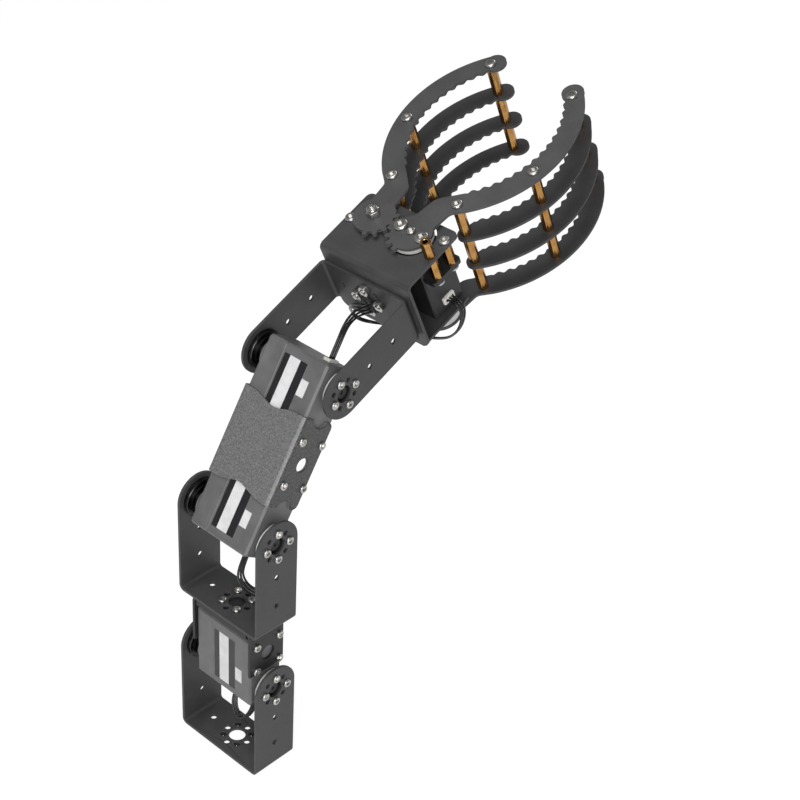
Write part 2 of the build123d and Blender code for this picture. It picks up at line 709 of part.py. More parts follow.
with BuildPart() as upper_spacer:
    with BuildSketch(facing(WRIST, FRAME_TOP)):
        with Locations(IDLER_PLACE):
            RegularPolygon(radius=SPACER_WIDTH / 2, side_count=6, major_radius=False)
            Circle(PIVOT_RADIUS + SNUG, mode=Mode.SUBTRACT)
    extrude(amount=FRAME_TOP - UPPER_FACE - SHEET - RUNNING)
write(upper_spacer.part, "upper_pivot_spacer")

with BuildPart() as lower_stud:
    with BuildSketch(facing(WRIST, FRAME_BOTTOM - SHEET)):
        with Locations(IDLER_PLACE):
            Circle(PIVOT_RADIUS)
    extrude(amount=FRAME_BOTTOM - SHEET - LOWER_FACE - RUNNING)
    with BuildSketch(facing(WRIST, FRAME_BOTTOM)):
        with Locations(IDLER_PLACE):
            RegularPolygon(radius=SPACER_WIDTH / 2, side_count=6, major_radius=False)
    extrude(amount=FRAME_BOTTOM - PLATE_FACES[3] + RUNNING)
write(lower_stud.part, "lower_pivot_stud")

with BuildPart() as lock_nuts:
    for face, way in ((UPPER_FACE - RUNNING, 1), (LOWER_FACE + RUNNING, -1)):
        plane = facing(WRIST, face)
        with BuildSketch(plane):
            with Locations(IDLER_PLACE):
                RegularPolygon(radius=LOCK_NUT_WIDTH / 2, side_count=6, major_radius=False)
        extrude(amount=way * (LOCK_NUT_HEIGHT - LOCK_NUT_COLLAR))
        with BuildSketch(plane.offset(way * (LOCK_NUT_HEIGHT - LOCK_NUT_COLLAR))):
            with Locations(IDLER_PLACE):
                RegularPolygon(radius=LOCK_NUT_WIDTH / 2, side_count=CENTRE_SIDES)
        extrude(amount=way * LOCK_NUT_COLLAR)
write(lock_nuts.part, "lock_nuts")

# Fingers


def on_circle(centre, radius, angle):
    """Point on a circle, the angle in degrees from the outward direction."""
    return (
        centre[0] + radius * cos(radians(angle)),
        centre[1] + radius * sin(radians(angle)),
    )


def serrated_edge():
    """Points of the gripping edge, from tip to root: a wave along the inner arc."""
    step = (INNER_START - INNER_END) / WAVES
    points = []
    for wave in range(WAVES):
        for phase, height in ((1 / 3, -WAVE_DEPTH / 2), (5 / 6, WAVE_DEPTH / 2)):
            angle = INNER_END + step * (wave + phase)
            points.append(on_circle(INNER_CENTRE, INNER_RADIUS + height, angle))
    return [on_circle(INNER_CENTRE, INNER_RADIUS, INNER_END)] + points


def tooth_half_angle(radius):
    """Half the angle that an involute tooth spans at a radius, in degrees."""
    base = PITCH_RADIUS * cos(radians(PRESSURE_ANGLE))
    at_pitch = tan(radians(PRESSURE_ANGLE)) - radians(PRESSURE_ANGLE)
    pressure = acos(min(1, base / radius))
    at_radius = tan(pressure) - pressure
    return 90 / GEAR_TEETH - BACKLASH + degrees(at_pitch - at_radius)


def tooth(angle):
    """Outline of one tooth at an angle from the line to the other pivot."""
    radii = (GEAR_ROOT - SHEET / 2, PITCH_RADIUS * cos(radians(PRESSURE_ANGLE)), PITCH_RADIUS, GEAR_TIP)
    flank = [(radius, tooth_half_angle(max(radius, radii[1]))) for radius in radii]
    outline = [(radius, angle + half) for radius, half in flank]
    outline += [(radius, angle - half) for radius, half in reversed(flank)]
    return [(-radius * cos(radians(turn)), radius * sin(radians(turn))) for radius, turn in outline]


def finger_places(pivot, way, points):
    """Points of the finger outline in the wrist frame, mirrored for the idler finger."""
    return [(pivot + way * x, PIVOT_REACH + y) for x, y in points]


def blade(pivot, way, start):
    """Sketch of a finger's curved blade, from a start angle to its round tip."""
    outer = [on_circle(OUTER_CENTRE, OUTER_RADIUS, angle) for angle in (start, 0, OUTER_END)]
    with BuildSketch() as outline:
        with BuildLine():
            arc = ThreePointArc(*finger_places(pivot, way, outer))
            grip = Polyline(*finger_places(pivot, way, serrated_edge()))
            Line(arc @ 1, grip @ 0)
            Line(grip @ 1, arc @ 0)
        make_face()
        with Locations(*finger_places(pivot, way, [TIP_CENTRE])):
            Circle(TIP_RADIUS)
    return outline.sketch


def gear_plate(face, pivot, way, teeth, bore):
    """Full finger plate: gear sector round the pivot, neck and blade."""
    with BuildPart() as plate:
        with BuildSketch(facing(WRIST, face)):
            add(blade(pivot, way, OUTER_START))
            root = [serrated_edge()[-1], on_circle(OUTER_CENTRE, OUTER_RADIUS, OUTER_START)]
            neck = [*NECK_INNER, *root, *NECK_OUTER]
            with BuildLine():
                FilletPolyline(
                    *finger_places(pivot, way, neck),
                    radius=(0, NECK_INNER_BEND, 0, 0, NECK_OUTER_BEND, 0),
                    close=True,
                )
            make_face()
            with Locations(*finger_places(pivot, way, [(0, 0)])):
                Circle(GEAR_ROOT)
            for angle in teeth:
                with BuildLine():
                    Polyline(*finger_places(pivot, way, tooth(angle)), close=True)
                make_face()
            if bore:
                with Locations(*finger_places(pivot, way, [(0, 0)])):
                    Circle(bore, mode=Mode.SUBTRACT)
        extrude(amount=-SHEET)
    return plate.part


def middle_plates(pivot, way):
    """The two plates between, cut short with a round end before the pivot."""
    near = STANDOFF_PLACES[0]
    start = on_circle(OUTER_CENTRE, OUTER_RADIUS, MIDDLE_PLATE_START)
    root = serrated_edge()[-1]
    end = (2 * near[0] - start[0], 2 * near[1] - start[1])
    with BuildPart() as plates:
        for face in PLATE_FACES[1:3]:
            with BuildSketch(facing(WRIST, face)):
                add(blade(pivot, way, MIDDLE_PLATE_START))
                with BuildLine():
                    Polyline(*finger_places(pivot, way, [near, start, root, end]), close=True)
                make_face()
                with Locations(*finger_places(pivot, way, [near])):
                    Circle(MIDDLE_PLATE_END_RADIUS)
            extrude(amount=-SHEET)
    return plates.part


def finger_standoffs(pivot, way):
    """Hexagon bars between the four plates."""
    with BuildPart() as bars:
        for face in PLATE_FACES[:3]:
            with BuildSketch(facing(WRIST, face + SHEET)):
                with Locations(*finger_places(pivot, way, STANDOFF_PLACES)):
                    RegularPolygon(radius=STANDOFF_WIDTH / 2, side_count=6, major_radius=False)
            extrude(amount=-TIER)
    return bars.part


def finger_screws(pivot, way):
    """Screw heads above the top plate and below the bottom plate."""
    with BuildPart() as heads:
        for face, height in ((UPPER_FACE, PAN_HEIGHT), (LOWER_FACE, -PAN_HEIGHT)):
            with BuildSketch(facing(WRIST, face)):
                with Locations(*finger_places(pivot, way, STANDOFF_PLACES)):
                    RegularPolygon(radius=PAN_RADIUS, side_count=HEAD_SIDES)
            extrude(amount=height)
    return heads.part


PIVOT_BORE = PIVOT_RADIUS + RUNNING
for name, pivot, way, teeth, bore in (
    ("drive", DRIVE_AXIS, 1, DRIVE_TEETH, None),
    ("idler", IDLER_AXIS, -1, IDLER_TEETH, PIVOT_BORE),
):
    write(gear_plate(PLATE_FACES[0], pivot, way, teeth, bore), f"{name}_top_plate")
    write(middle_plates(pivot, way), f"{name}_middle_plates")
    write(gear_plate(PLATE_FACES[3], pivot, way, teeth, bore), f"{name}_bottom_plate")
    write(finger_standoffs(pivot, way), f"{name}_finger_standoffs")
    write(finger_screws(pivot, way), f"{name}_finger_screws")

with BuildPart() as drive_spacer:
    with BuildSketch(facing(WRIST, PLATE_FACES[3])):
        with Locations((DRIVE_AXIS, PIVOT_REACH)):
            RegularPolygon(radius=DISC_RADIUS, side_count=DISC_SIDES)
    extrude(amount=PLATE_FACES[3] - SERVO_MIDDLE - ARM_INSIDE)
write(drive_spacer.part, "drive_lower_spacer")

with BuildPart() as drive_screws:
    with BuildSketch(facing(WRIST, UPPER_FACE)):
        with Locations((DRIVE_AXIS, PIVOT_REACH)):
            RegularPolygon(radius=HEAD_RADIUS, side_count=HEAD_SIDES)
            with PolarLocations(BOLT_CIRCLE, 2, start_angle=DRIVE_SCREW_ANGLE):
                RegularPolygon(radius=DRIVE_SCREW_RADIUS, side_count=HEAD_SIDES)
    extrude(amount=DRIVE_SCREW_HEIGHT)
    with BuildSketch(facing(WRIST, LOWER_FACE)):
        with Locations((DRIVE_AXIS, PIVOT_REACH)):
            with PolarLocations(BOLT_CIRCLE, 4):
                RegularPolygon(radius=HEAD_RADIUS, side_count=HEAD_SIDES)
    extrude(amount=-HEAD_HEIGHT)
write(drive_screws.part, "drive_screws")

# Leads, each a plain tube between two plugs


def bend_radii(points):
    """Radius for each corner of a route, as large as its two runs allow."""
    radii = []
    for before, corner, after in zip(points, points[1:], points[2:]):
        arriving, leaving = corner - before, after - corner
        turn = radians(arriving.get_angle(leaving))
        radii.append(0.45 * min(arriving.length, leaving.length) / tan(turn / 2))
    return radii


def lead(points, name):
    """Tube along straight runs joined by tangent arcs."""
    radii = bend_radii(points)
    with BuildPart() as tube:
        with BuildLine():
            route = FilletPolyline(*points, radius=radii)
        with BuildSketch(Plane(origin=route @ 0, z_dir=route % 0)) as section:
            RegularPolygon(radius=LEAD_RADIUS, side_count=LEAD_SIDES)
        sweep()
    expected = section.sketch.area * route.length
    print(name, "length", round(route.length, 1), "radii", [round(radius, 1) for radius in radii])
    print("  volume", round(tube.part.volume, 1), "expected", round(expected, 1))
    write(tube.part, name)


LOWER_ROUTE = (
    (12.3, -8.6, 112.0),
    (13.2, -3.6, 103.8),
    (12.8, 3.0, 98.8),
    (12.0, 10.0, 95.2),
    (10.8, 15.6, 89.5),
    (9.0, 16.2, 78.0),
    (5.5, 14.4, 63.0),
    (1.5, 14.2, 49.0),
    (-1.2, 13.2, 39.0),
    (-1.5, 6.5, 33.5),
    (-0.8, -0.8, 29.0),
    (2.2, -3.8, 23.5),
    (7.0, -4.3, 20.0),
    (11.6, -3.0, 24.0),
)
# In the wrist frame
GRIPPER_ROUTE = (
    (11.4, -13.8, 24.5),
    (9.6, -11.6, 32.5),
    (8.6, -6.6, 38.8),
    (7.0, -2.0, 43.4),
    (1.0, 1.6, 43.5),
    (-6.5, 5.2, 43.3),
    (-13.0, 10.4, 44.0),
    (-16.2, 16.6, 45.4),
    (-15.4, 22.8, 47.2),
    (-11.6, 27.2, 50.8),
    (-4.0, 27.6, 53.6),
    (5.5, 27.0, 54.8),
    (14.5, 26.8, 56.2),
    (22.4, 28.4, 59.2),
    (27.2, 30.2, 64.4),
    (29.2, 27.6, 70.0),
    (29.8, 21.8, 73.6),
    (29.6, 16.8, 74.4),
)
PLUG_END = -CASE_NEAR - PLUG_LENGTH
lead(
    [
        beyond(ELBOW, x=PLUG_FROM_MIDDLE, z=PLUG_END),
        beyond(ELBOW, x=PLUG_FROM_MIDDLE, z=PLUG_END - LEAD_EXIT),
        *[Vector(*point) for point in LOWER_ROUTE],
        beyond(SHOULDER, x=PLUG_FROM_MIDDLE, z=PLUG_END - LEAD_EXIT),
        beyond(SHOULDER, x=PLUG_FROM_MIDDLE, z=PLUG_END),
    ],
    "lower_lead",
)
lead(
    [
        beyond(WRIST_BELOW, x=PLUG_FROM_MIDDLE, z=PLUG_END),
        beyond(WRIST_BELOW, x=PLUG_FROM_MIDDLE, z=PLUG_END - LEAD_EXIT),
        *[beyond(WRIST, *point) for point in GRIPPER_ROUTE],
        beyond(GRIPPER_SERVO, x=PLUG_FROM_MIDDLE, z=PLUG_END - TIGHT_EXIT),
        beyond(GRIPPER_SERVO, x=PLUG_FROM_MIDDLE, z=PLUG_END),
    ],
    "gripper_lead",
)
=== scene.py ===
"""Looks of a small jointed robot arm with a gripper claw.

Pieces are drawn in millimetres in the frame of the link that carries them, and their vertices
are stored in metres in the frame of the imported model. Each link has its X along the shafts,
its Y across the thickness of the servo and its Z along the reach of the link.
"""

from math import acos, atan2, cos, degrees, hypot, pi, radians, sin, tan

import bmesh
import bpy
from mathutils import Matrix, Vector


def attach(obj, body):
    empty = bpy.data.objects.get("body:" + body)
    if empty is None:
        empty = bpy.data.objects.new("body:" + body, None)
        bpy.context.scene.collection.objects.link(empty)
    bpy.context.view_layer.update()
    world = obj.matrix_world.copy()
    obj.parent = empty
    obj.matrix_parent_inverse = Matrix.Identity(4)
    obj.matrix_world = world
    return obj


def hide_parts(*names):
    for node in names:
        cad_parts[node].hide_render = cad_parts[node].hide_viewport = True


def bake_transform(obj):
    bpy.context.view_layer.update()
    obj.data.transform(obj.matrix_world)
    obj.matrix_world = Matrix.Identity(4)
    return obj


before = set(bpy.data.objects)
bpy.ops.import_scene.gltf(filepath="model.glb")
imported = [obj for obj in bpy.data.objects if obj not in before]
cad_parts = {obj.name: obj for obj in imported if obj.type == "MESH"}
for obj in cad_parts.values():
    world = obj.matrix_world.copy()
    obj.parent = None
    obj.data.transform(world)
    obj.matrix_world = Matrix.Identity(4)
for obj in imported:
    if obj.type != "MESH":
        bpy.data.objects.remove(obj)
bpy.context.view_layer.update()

MM = 0.001

# Sizes of the brackets and servos
SHEET = 1.5
CASE_NEAR = 9.8
CASE_FRONT = -10.0
OUTPUT_FACE = -17.5
IDLER_FACE = 20.0
ARM_INSIDE = 25.6
ARM_OUTSIDE = ARM_INSIDE + SHEET
BRACKET_LEFT = OUTPUT_FACE - SHEET
BRACKET_RIGHT = IDLER_FACE + SHEET
AXIS_HEIGHT = 49.4
MOUNT_HEIGHT = 36.85
LINK_LENGTH = 75.5
MIDDLE_LEAN = 31.7
WRIST_LEAN = 64.3
BOLT_CIRCLE = 7.0
SIDE_SCREWS = (12.4, 27.0)
SIDE_SCREW_SPREAD = 14.5
HEAD_RADIUS = 2.1
HEAD_HEIGHT = 1.3
HEAD_SOCKET = 2.0
LOW_HEAD = 0.6
PAN_RADIUS = 2.75
PAN_HEIGHT = 1.6
PAN_SOCKET = 2.4
CASE_SCREW_RADIUS = 1.15
CASE_SCREW_HEIGHT = 0.35
CASE_SCREW_SOCKET = 1.1
CASE_SCREW_RISE = 2.6
CASE_SCREW_OFFSET = 7.4

# Sizes of the claw
TIER = 17.5
TOP_PLATE_FACE = -25.8
PLATE_FACES = tuple(TOP_PLATE_FACE + k * (TIER + SHEET) for k in range(4))
SERVO_MIDDLE = TOP_PLATE_FACE + SHEET + ARM_INSIDE
PIVOT_REACH = 74.4
GEAR_TEETH = 15
GEAR_MODULE = 1.56
PITCH_RADIUS = GEAR_MODULE * GEAR_TEETH / 2
PRESSURE_ANGLE = 20.0
BASE_RADIUS = PITCH_RADIUS * cos(radians(PRESSURE_ANGLE))
GEAR_ROOT = 10.2
GEAR_TIP = 12.5
BACKLASH = 0.5
DRIVE_AXIS = 11.85
IDLER_AXIS = DRIVE_AXIS - 2 * PITCH_RADIUS
DRIVE_TEETH = (-84, -60, -36, -12, 12)
IDLER_TEETH = (-72, -48, -24, 0, 24)
OUTER_CENTRE = (-26.0, 66.0)
OUTER_RADIUS = 59.5
OUTER_START = -47.3
OUTER_END = 45.7
INNER_CENTRE = (-26.6, 67.4)
INNER_RADIUS = 49.8
INNER_START = -47.6
INNER_END = 44.2
WAVES = 15
WAVE_STEPS = 10
WAVE_DEPTH = 1.3
TIP_CENTRE = (12.1, 105.1)
TIP_RADIUS = 5.3
NECK_INNER = ((-5.6, 5.5), (-3.2, 21.0))
NECK_INNER_BEND = 7.0
NECK_OUTER = ((8.4, 17.4), (7.3, 5.5))
NECK_OUTER_BEND = 4.0
MIDDLE_PLATE_START = -51.5
MIDDLE_PLATE_END_RADIUS = 4.25
STANDOFF_PLACES = ((8.5, 22.8), (27.4, 55.5), (13.4, 102.9))
FRAME_TOP = -22.2
FRAME_CENTRE = DRIVE_AXIS - 10.2
EAR_HOLES = 49.5
EAR_HOLE_SPREAD = 10.0
EAR_FACE = SERVO_MIDDLE + OUTPUT_FACE + 7.9
EAR_THICKNESS = 2.5
DRIVE_SCREW_RADIUS = 3.4
DRIVE_SCREW_HEIGHT = 1.8
DRIVE_SCREW_SOCKET = 3.0
DRIVE_SCREW_ANGLE = -6.0
LOCK_NUT_WIDTH = 5.6
LOCK_PIN = (1.75, 1.5, 1.7)
LOCK_PIN_RISE = 3.4
NUT_HEIGHT = 2.4
THREAD_RADIUS = 1.45
THREAD_LENGTH = 0.8
BAR_WIDTH = 4.6
BAR_CHAMFER = 0.35
BORE_CHAMFER = 0.2
BORE_CHAMFER_DEPTH = 0.25
BAR_BORE = 0.4
POST_HEIGHT = 10.0
POST_BORE = 1.25
PLATE_EDGE = 0.14

# Sizes of the leads and plugs
WIRE_RADIUS = 0.55
WIRE_SPACING = 1.5
WIRE_SIDES = 10
WIRE_SLACK = 0.35
LIFT_WAVES = 2.6
LIFT_SHIFT = 0.31
SPREAD_WAVES = 3.7
SPREAD_SHIFT = 0.2
SPREAD_PART = 0.4
PLUG_ACROSS = 4.0
PLUG_WIDE = 7.3
PLUG_PROUD = 1.4
ELBOW_PLUG_PROUD = 0.9
PLUG_FROM_MIDDLE = 12.8
PLUG_CORNER = 0.35
PLUG_CHAMFER = 0.3
SLOT_ACROSS = 2.1
SLOT_WIDE = 1.25
SLOT_CORNER = 0.2
SLOT_SPACING = WIRE_SPACING * 1.4
SLOT_SUNK = 0.1
SLOT_PROUD = 0.12
WIRE_START = 1.0
ELBOW_WIRE_START = 0.8
PLUG_RUN = 9.0
TIGHT_PLUG_RUN = 6.2
BLEND_RUN = 4.0

# Sides of round forms
HEAD_SEGMENTS = 24
ROUND_SIDES = 36
DISC_SIDES = 56
SHADOW_SHEET_SIDES = 40
BOSS_SIDES = 28
ROD_SIDES = 20

# Angles between faces, in degrees, above which an edge stays sharp
SHARP = 35
SHARP_DISC = 40
SHARP_PLATE = 25


def link_frame(origin, lean):
    """Matrix from a link's own millimetres to metres in the model's frame."""
    place = Matrix.Translation(Vector(origin) * MM)
    return place @ Matrix.Rotation(-radians(lean), 4, "X") @ Matrix.Scale(MM, 4)


def point_of(link, x=0.0, y=0.0, z=0.0):
    """Point of a link's frame, in the model's millimetres."""
    return (link @ Vector((x, y, z))) / MM


TURN_OVER = Matrix.Rotation(pi, 4, "X")
SHOULDER = link_frame((0, 0, AXIS_HEIGHT), 0)
ELBOW_UPRIGHT = link_frame((0, 0, AXIS_HEIGHT + MOUNT_HEIGHT + AXIS_HEIGHT), 0)
ELBOW = link_frame(point_of(ELBOW_UPRIGHT), MIDDLE_LEAN)
WRIST_JOINT = point_of(ELBOW, z=LINK_LENGTH)
WRIST_BELOW = link_frame(WRIST_JOINT, MIDDLE_LEAN) @ TURN_OVER
WRIST = link_frame(WRIST_JOINT, WRIST_LEAN)
GRIPPER_SERVO = (
    WRIST
    @ Matrix.Translation((DRIVE_AXIS, SERVO_MIDDLE, PIVOT_REACH))
    @ Matrix(((0, 0, -1, 0), (1, 0, 0, 0), (0, -1, 0, 0), (0, 0, 0, 1)))
)


# Each servo's name, frame and body, and each finger's name, pivot, side and teeth

SERVOS = (
    ("shoulder", SHOULDER, "lower_link"),
    ("elbow", ELBOW, "mid_link"),
    ("wrist", WRIST_BELOW, "mid_link"),
    ("gripper", GRIPPER_SERVO, "wrist"),
)
FINGERS = (("drive", DRIVE_AXIS, 1, DRIVE_TEETH), ("idler", IDLER_AXIS, -1, IDLER_TEETH))


# Shader maths


class Wire:
    """A shader socket that takes part in Python sums."""

    def __init__(self, tree, socket):
        self.tree = tree
        self.socket = socket

    def node(self, kind, settings=None, output=0, **inputs):
        """New node of a kind, with its settings made first and then its sockets."""
        return make_node(self.tree, kind, settings, output, **inputs)

    def maths(self, operation, other=0.0):
        return make_node(self.tree, "Math", {"operation": operation}, 0, _0=self, _1=other)

    def __add__(self, other):
        return self.maths("ADD", other)

    def __sub__(self, other):
        return self.maths("SUBTRACT", other)

    def __mul__(self, other):
        return self.maths("MULTIPLY", other)


def make_node(tree, kind, settings=None, output=0, **inputs):
    """Node with its settings, then values or links on sockets named or numbered, as in _0."""
    node = tree.nodes.new(f"ShaderNode{kind}")
    for name, value in (settings or {}).items():
        if name == "stops":
            ramp = node.color_ramp.elements
            while len(ramp) < len(value):
                ramp.new(0.5)
            for element, (place, color) in zip(ramp, value):
                element.position = place
                element.color = (*color, 1)
        else:
            setattr(node, name, value)
    for name, value in inputs.items():
        key = int(name[1:]) if name[0] == "_" else name.replace("_", " ")
        if isinstance(value, Wire):
            tree.links.new(value.socket, node.inputs[key])
        else:
            node.inputs[key].default_value = value
    return Wire(tree, node.outputs[output])


def surface(name, color, roughness, metallic=0.0):
    """New material, its principled shader and its place in object coordinates."""
    material = bpy.data.materials.new(name)
    material.use_nodes = True
    tree = material.node_tree
    shader = tree.nodes["Principled BSDF"]
    shader.inputs["Base Color"].default_value = (*color, 1)
    shader.inputs["Roughness"].default_value = roughness
    shader.inputs["Metallic"].default_value = metallic
    return material, shader, make_node(tree, "TexCoord", None, "Object")


def feed(shader, key, wire):
    wire.tree.links.new(wire.socket, shader.inputs[key])


def noise(place, size_mm, detail=2.0):
    """Noise whose lumps are about size_mm across."""
    return place.node("TexNoise", Vector=place, Scale=1000 / size_mm, Detail=detail)


def ramp(value, *stops):
    return value.node("ValToRGB", {"stops": stops}, Fac=value)


def bump(height, strength, depth_mm):
    return height.node("Bump", None, Height=height, Strength=strength, Distance=depth_mm * MM)


def powder_coat(name, dark, light):
    """Fine-grained black powder coat, a little lighter where dust and wear have caught it."""
    material, shader, place = surface(name, light, 0.5)
    patches = noise(place, 14)
    grain = noise(place, 0.35, detail=4)
    shade = patches * 0.4 + grain * 0.6
    feed(shader, "Base Color", ramp(shade, (0.3, dark), (0.75, light)))
    feed(shader, "Roughness", patches * 0.16 + grain * 0.12 + 0.36)
    feed(shader, "Normal", bump(grain, 0.35, 0.06))
    return material


# Widths of painted light on the twin bracket: painted shade on the flanges, and a painted highlight
# band along the bends
FLANGE_SHADE_BAND = 0.6
FOLD_HIGHLIGHT_BAND = 2.1


def rough_coat():
    """The twin bracket's coarser coat, speckled grey, with painted shade on its flanges and a
    painted highlight along the bends between web and flanges.
    """
    material, shader, place = surface("rough_coat", (0.12, 0.12, 0.122), 0.5)
    grain = noise(place, 0.8, detail=6)
    speckle = noise(place, 0.3, detail=3)
    shade = grain * 0.55 + speckle * 0.45
    across = place.node("SeparateXYZ", None, 0, Vector=place).maths("ABSOLUTE") * 1000
    # Painted shade: the flanges are darkened by their position across the bracket
    flange_shade = across.maths("GREATER_THAN", BRACKET_RIGHT - FLANGE_SHADE_BAND)
    # Painted highlight: a lighter band on each bend between web and flanges
    fold_highlight = across.maths("GREATER_THAN", BRACKET_RIGHT - FOLD_HIGHLIGHT_BAND) - flange_shade
    level = shade * (flange_shade * -0.3 + 1.0) + fold_highlight * 0.1
    dark, light = (0.04, 0.04, 0.041), (0.24, 0.24, 0.243)
    feed(shader, "Base Color", ramp(level, (0.3, dark), (0.66, light)))
    feed(shader, "Roughness", speckle * 0.25 + 0.36)
    feed(shader, "Normal", bump(shade, 0.5, 0.09))
    return material


def case_plastic(name, dark, light):
    """Satin dark grey moulded case with a spark-eroded grain."""
    material, shader, place = surface(name, light, 0.42)
    cells = noise(place, 0.45, detail=3)
    handling = noise(place, 9)
    feed(shader, "Base Color", ramp(handling, (0.3, dark), (0.75, light)))
    feed(shader, "Roughness", handling * 0.16 + 0.36)
    feed(shader, "Normal", bump(cells, 0.25, 0.05))
    return material


def metal(name, color, lighter, roughness, brushed_mm, depth_mm=0.02):
    """Bare metal with fine machining marks and slight staining."""
    material, shader, place = surface(name, color, roughness, 1.0)
    stain = noise(place, 5)
    marks = noise(place, brushed_mm, detail=5)
    feed(shader, "Base Color", ramp(stain, (0.3, color), (0.7, lighter)))
    feed(shader, "Roughness", marks * 0.2 + stain * 0.1 + (roughness - 0.15))
    feed(shader, "Normal", bump(marks, 0.2, depth_mm))
    return material


def moulded(name, color, darker, roughness):
    """Plain moulded plastic or print, with faint shade and gloss changes."""
    material, shader, place = surface(name, color, roughness)
    cloud = noise(place, 4)
    feed(shader, "Base Color", ramp(cloud, (0.25, darker), (0.75, color)))
    feed(shader, "Roughness", cloud * 0.14 + (roughness - 0.07))
    feed(shader, "Normal", bump(noise(place, 0.4), 0.12, 0.03))
    return material


POWDER_COAT = powder_coat("powder_coat", (0.034, 0.034, 0.036), (0.068, 0.068, 0.07))
# A lighter copy of the powder coat for the fingers' top plates: painted light, as the top plates
# catch more light than the plates under them
TOP_PLATE_PAINTED_LIGHT_COAT = powder_coat("top_plate_painted_light_coat", (0.05, 0.05, 0.052), (0.096, 0.096, 0.098))
MOUNT_COAT = powder_coat("mount_coat", (0.01, 0.01, 0.011), (0.026, 0.026, 0.027))
ROUGH_COAT = rough_coat()
CASE_PLASTIC = case_plastic("case_plastic", (0.115, 0.115, 0.116), (0.16, 0.16, 0.161))
# A much darker copy of the case plastic for the gripper's servo: painted shade, for its place under
# the claw frame
CLAW_CASE_PAINTED_SHADE = case_plastic("claw_case_painted_shade", (0.014, 0.014, 0.015), (0.026, 0.026, 0.027))
DARK_METAL = metal("dark_anodised", (0.04, 0.04, 0.042), (0.07, 0.07, 0.073), 0.3, 0.5)
BRIGHT_METAL = metal("bright_aluminium", (0.5, 0.5, 0.5), (0.66, 0.66, 0.66), 0.34, 0.5)
STEEL = metal("nickelled_steel", (0.46, 0.45, 0.43), (0.62, 0.61, 0.59), 0.3, 0.3)
BRASS = metal("machined_brass", (0.42, 0.2, 0.055), (0.62, 0.35, 0.12), 0.22, 0.4)
# Pale plastic-like grey for the silver rim of the gripper's output disc: its brightness is a
# painted reflection
SILVER_RIM_PAINTED_REFLECTION = moulded("silver_rim_painted_reflection", (0.66, 0.66, 0.64), (0.52, 0.52, 0.5), 0.3)
# Pale grey for the idler discs' metal rims: their brightness is a painted reflection
GREY_RIM_PAINTED_REFLECTION = moulded("grey_rim_painted_reflection", (0.74, 0.74, 0.72), (0.56, 0.56, 0.54), 0.32)
PLUG_WHITE = moulded("plug_nylon", (0.8, 0.79, 0.75), (0.68, 0.67, 0.62), 0.45)
INSULATION = moulded("wire_insulation", (0.02, 0.02, 0.021), (0.01, 0.01, 0.011), 0.2)
LABEL_WHITE = moulded("label_paper", (0.78, 0.78, 0.78), (0.66, 0.66, 0.67), 0.5)
LABEL_DARK = moulded("label_ink", (0.012, 0.012, 0.013), (0.02, 0.02, 0.022), 0.35)
SOCKET_DARK = moulded("socket_shadow", (0.01, 0.01, 0.01), (0.006, 0.006, 0.006), 0.6)


# Nodes of the model that keep their shape


def smooth_by_angle(obj, angle=SHARP):
    """Smooth shading with sharp edges above an angle."""
    obj.data.polygons.foreach_set("use_smooth", [True] * len(obj.data.polygons))
    obj.data.set_sharp_from_angle(angle=radians(angle))


WELD_MM = 0.002
BEVEL_ANGLE = 32
SHEET_EDGE = 0.18
CASE_EDGE = 0.35
NUT_EDGE = 0.25
ROUND_EDGE = 0.2


def dress(node, material, edge_mm):
    """Material and softly broken edges for a node of the model."""
    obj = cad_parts[node]
    obj.data.materials.clear()
    obj.data.materials.append(material)
    smooth_by_angle(obj)
    weld = obj.modifiers.new("weld", "WELD")
    weld.merge_threshold = WELD_MM * MM
    if edge_mm:
        edges = obj.modifiers.new("edges", "BEVEL")
        edges.width = edge_mm * MM
        edges.segments = 2
        edges.limit_method = "ANGLE"
        edges.angle_limit = radians(BEVEL_ANGLE)
        flats = obj.modifiers.new("flats", "WEIGHTED_NORMAL")
        flats.weight = 100


for bracket, coat in (
    ("base_bracket", POWDER_COAT),
    ("link_bracket", POWDER_COAT),
    ("wrist_bracket", POWDER_COAT),
    ("servo_mount_bracket", MOUNT_COAT),
    ("gripper_frame", POWDER_COAT),
    ("twin_servo_bracket", ROUGH_COAT),
):
    dress(bracket, coat, SHEET_EDGE)
for joint, _, _ in SERVOS:
    # The gripper's servo takes the darker copy of the case plastic: painted shade
    case = CLAW_CASE_PAINTED_SHADE if joint == "gripper" else CASE_PLASTIC
    dress(f"{joint}_servo_gear_case", case, CASE_EDGE)
    dress(f"{joint}_servo_body_case", case, CASE_EDGE)
    dress(f"{joint}_output_shaft", BRIGHT_METAL, 0.0)
dress("drive_lower_spacer", BRIGHT_METAL, ROUND_EDGE)
for node in ("link_nuts", "frame_nuts", "upper_pivot_spacer", "lower_pivot_stud"):
    dress(node, STEEL, NUT_EDGE)
dress("upper_pivot_bolt", STEEL, ROUND_EDGE)


# New pieces


def add_piece(name, mesh, link, material, body, nodes=(), sharp=None):
    """Object from a bmesh in a link's millimetres, which rides on a body if one is named.

    It is shaded smooth, except over edges above the angle sharp, or flat if that is None.
    """
    mesh.transform(link)
    bmesh.ops.recalc_face_normals(mesh, faces=mesh.faces)
    data = bpy.data.meshes.new(name)
    mesh.to_mesh(data)
    mesh.free()
    data.materials.append(material)
    obj = bpy.data.objects.new(name, data)
    bpy.context.collection.objects.link(obj)
    if body:
        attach(obj, body)
    if nodes:
        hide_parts(*nodes)
    if sharp is not None:
        smooth_by_angle(obj, sharp)
    return obj


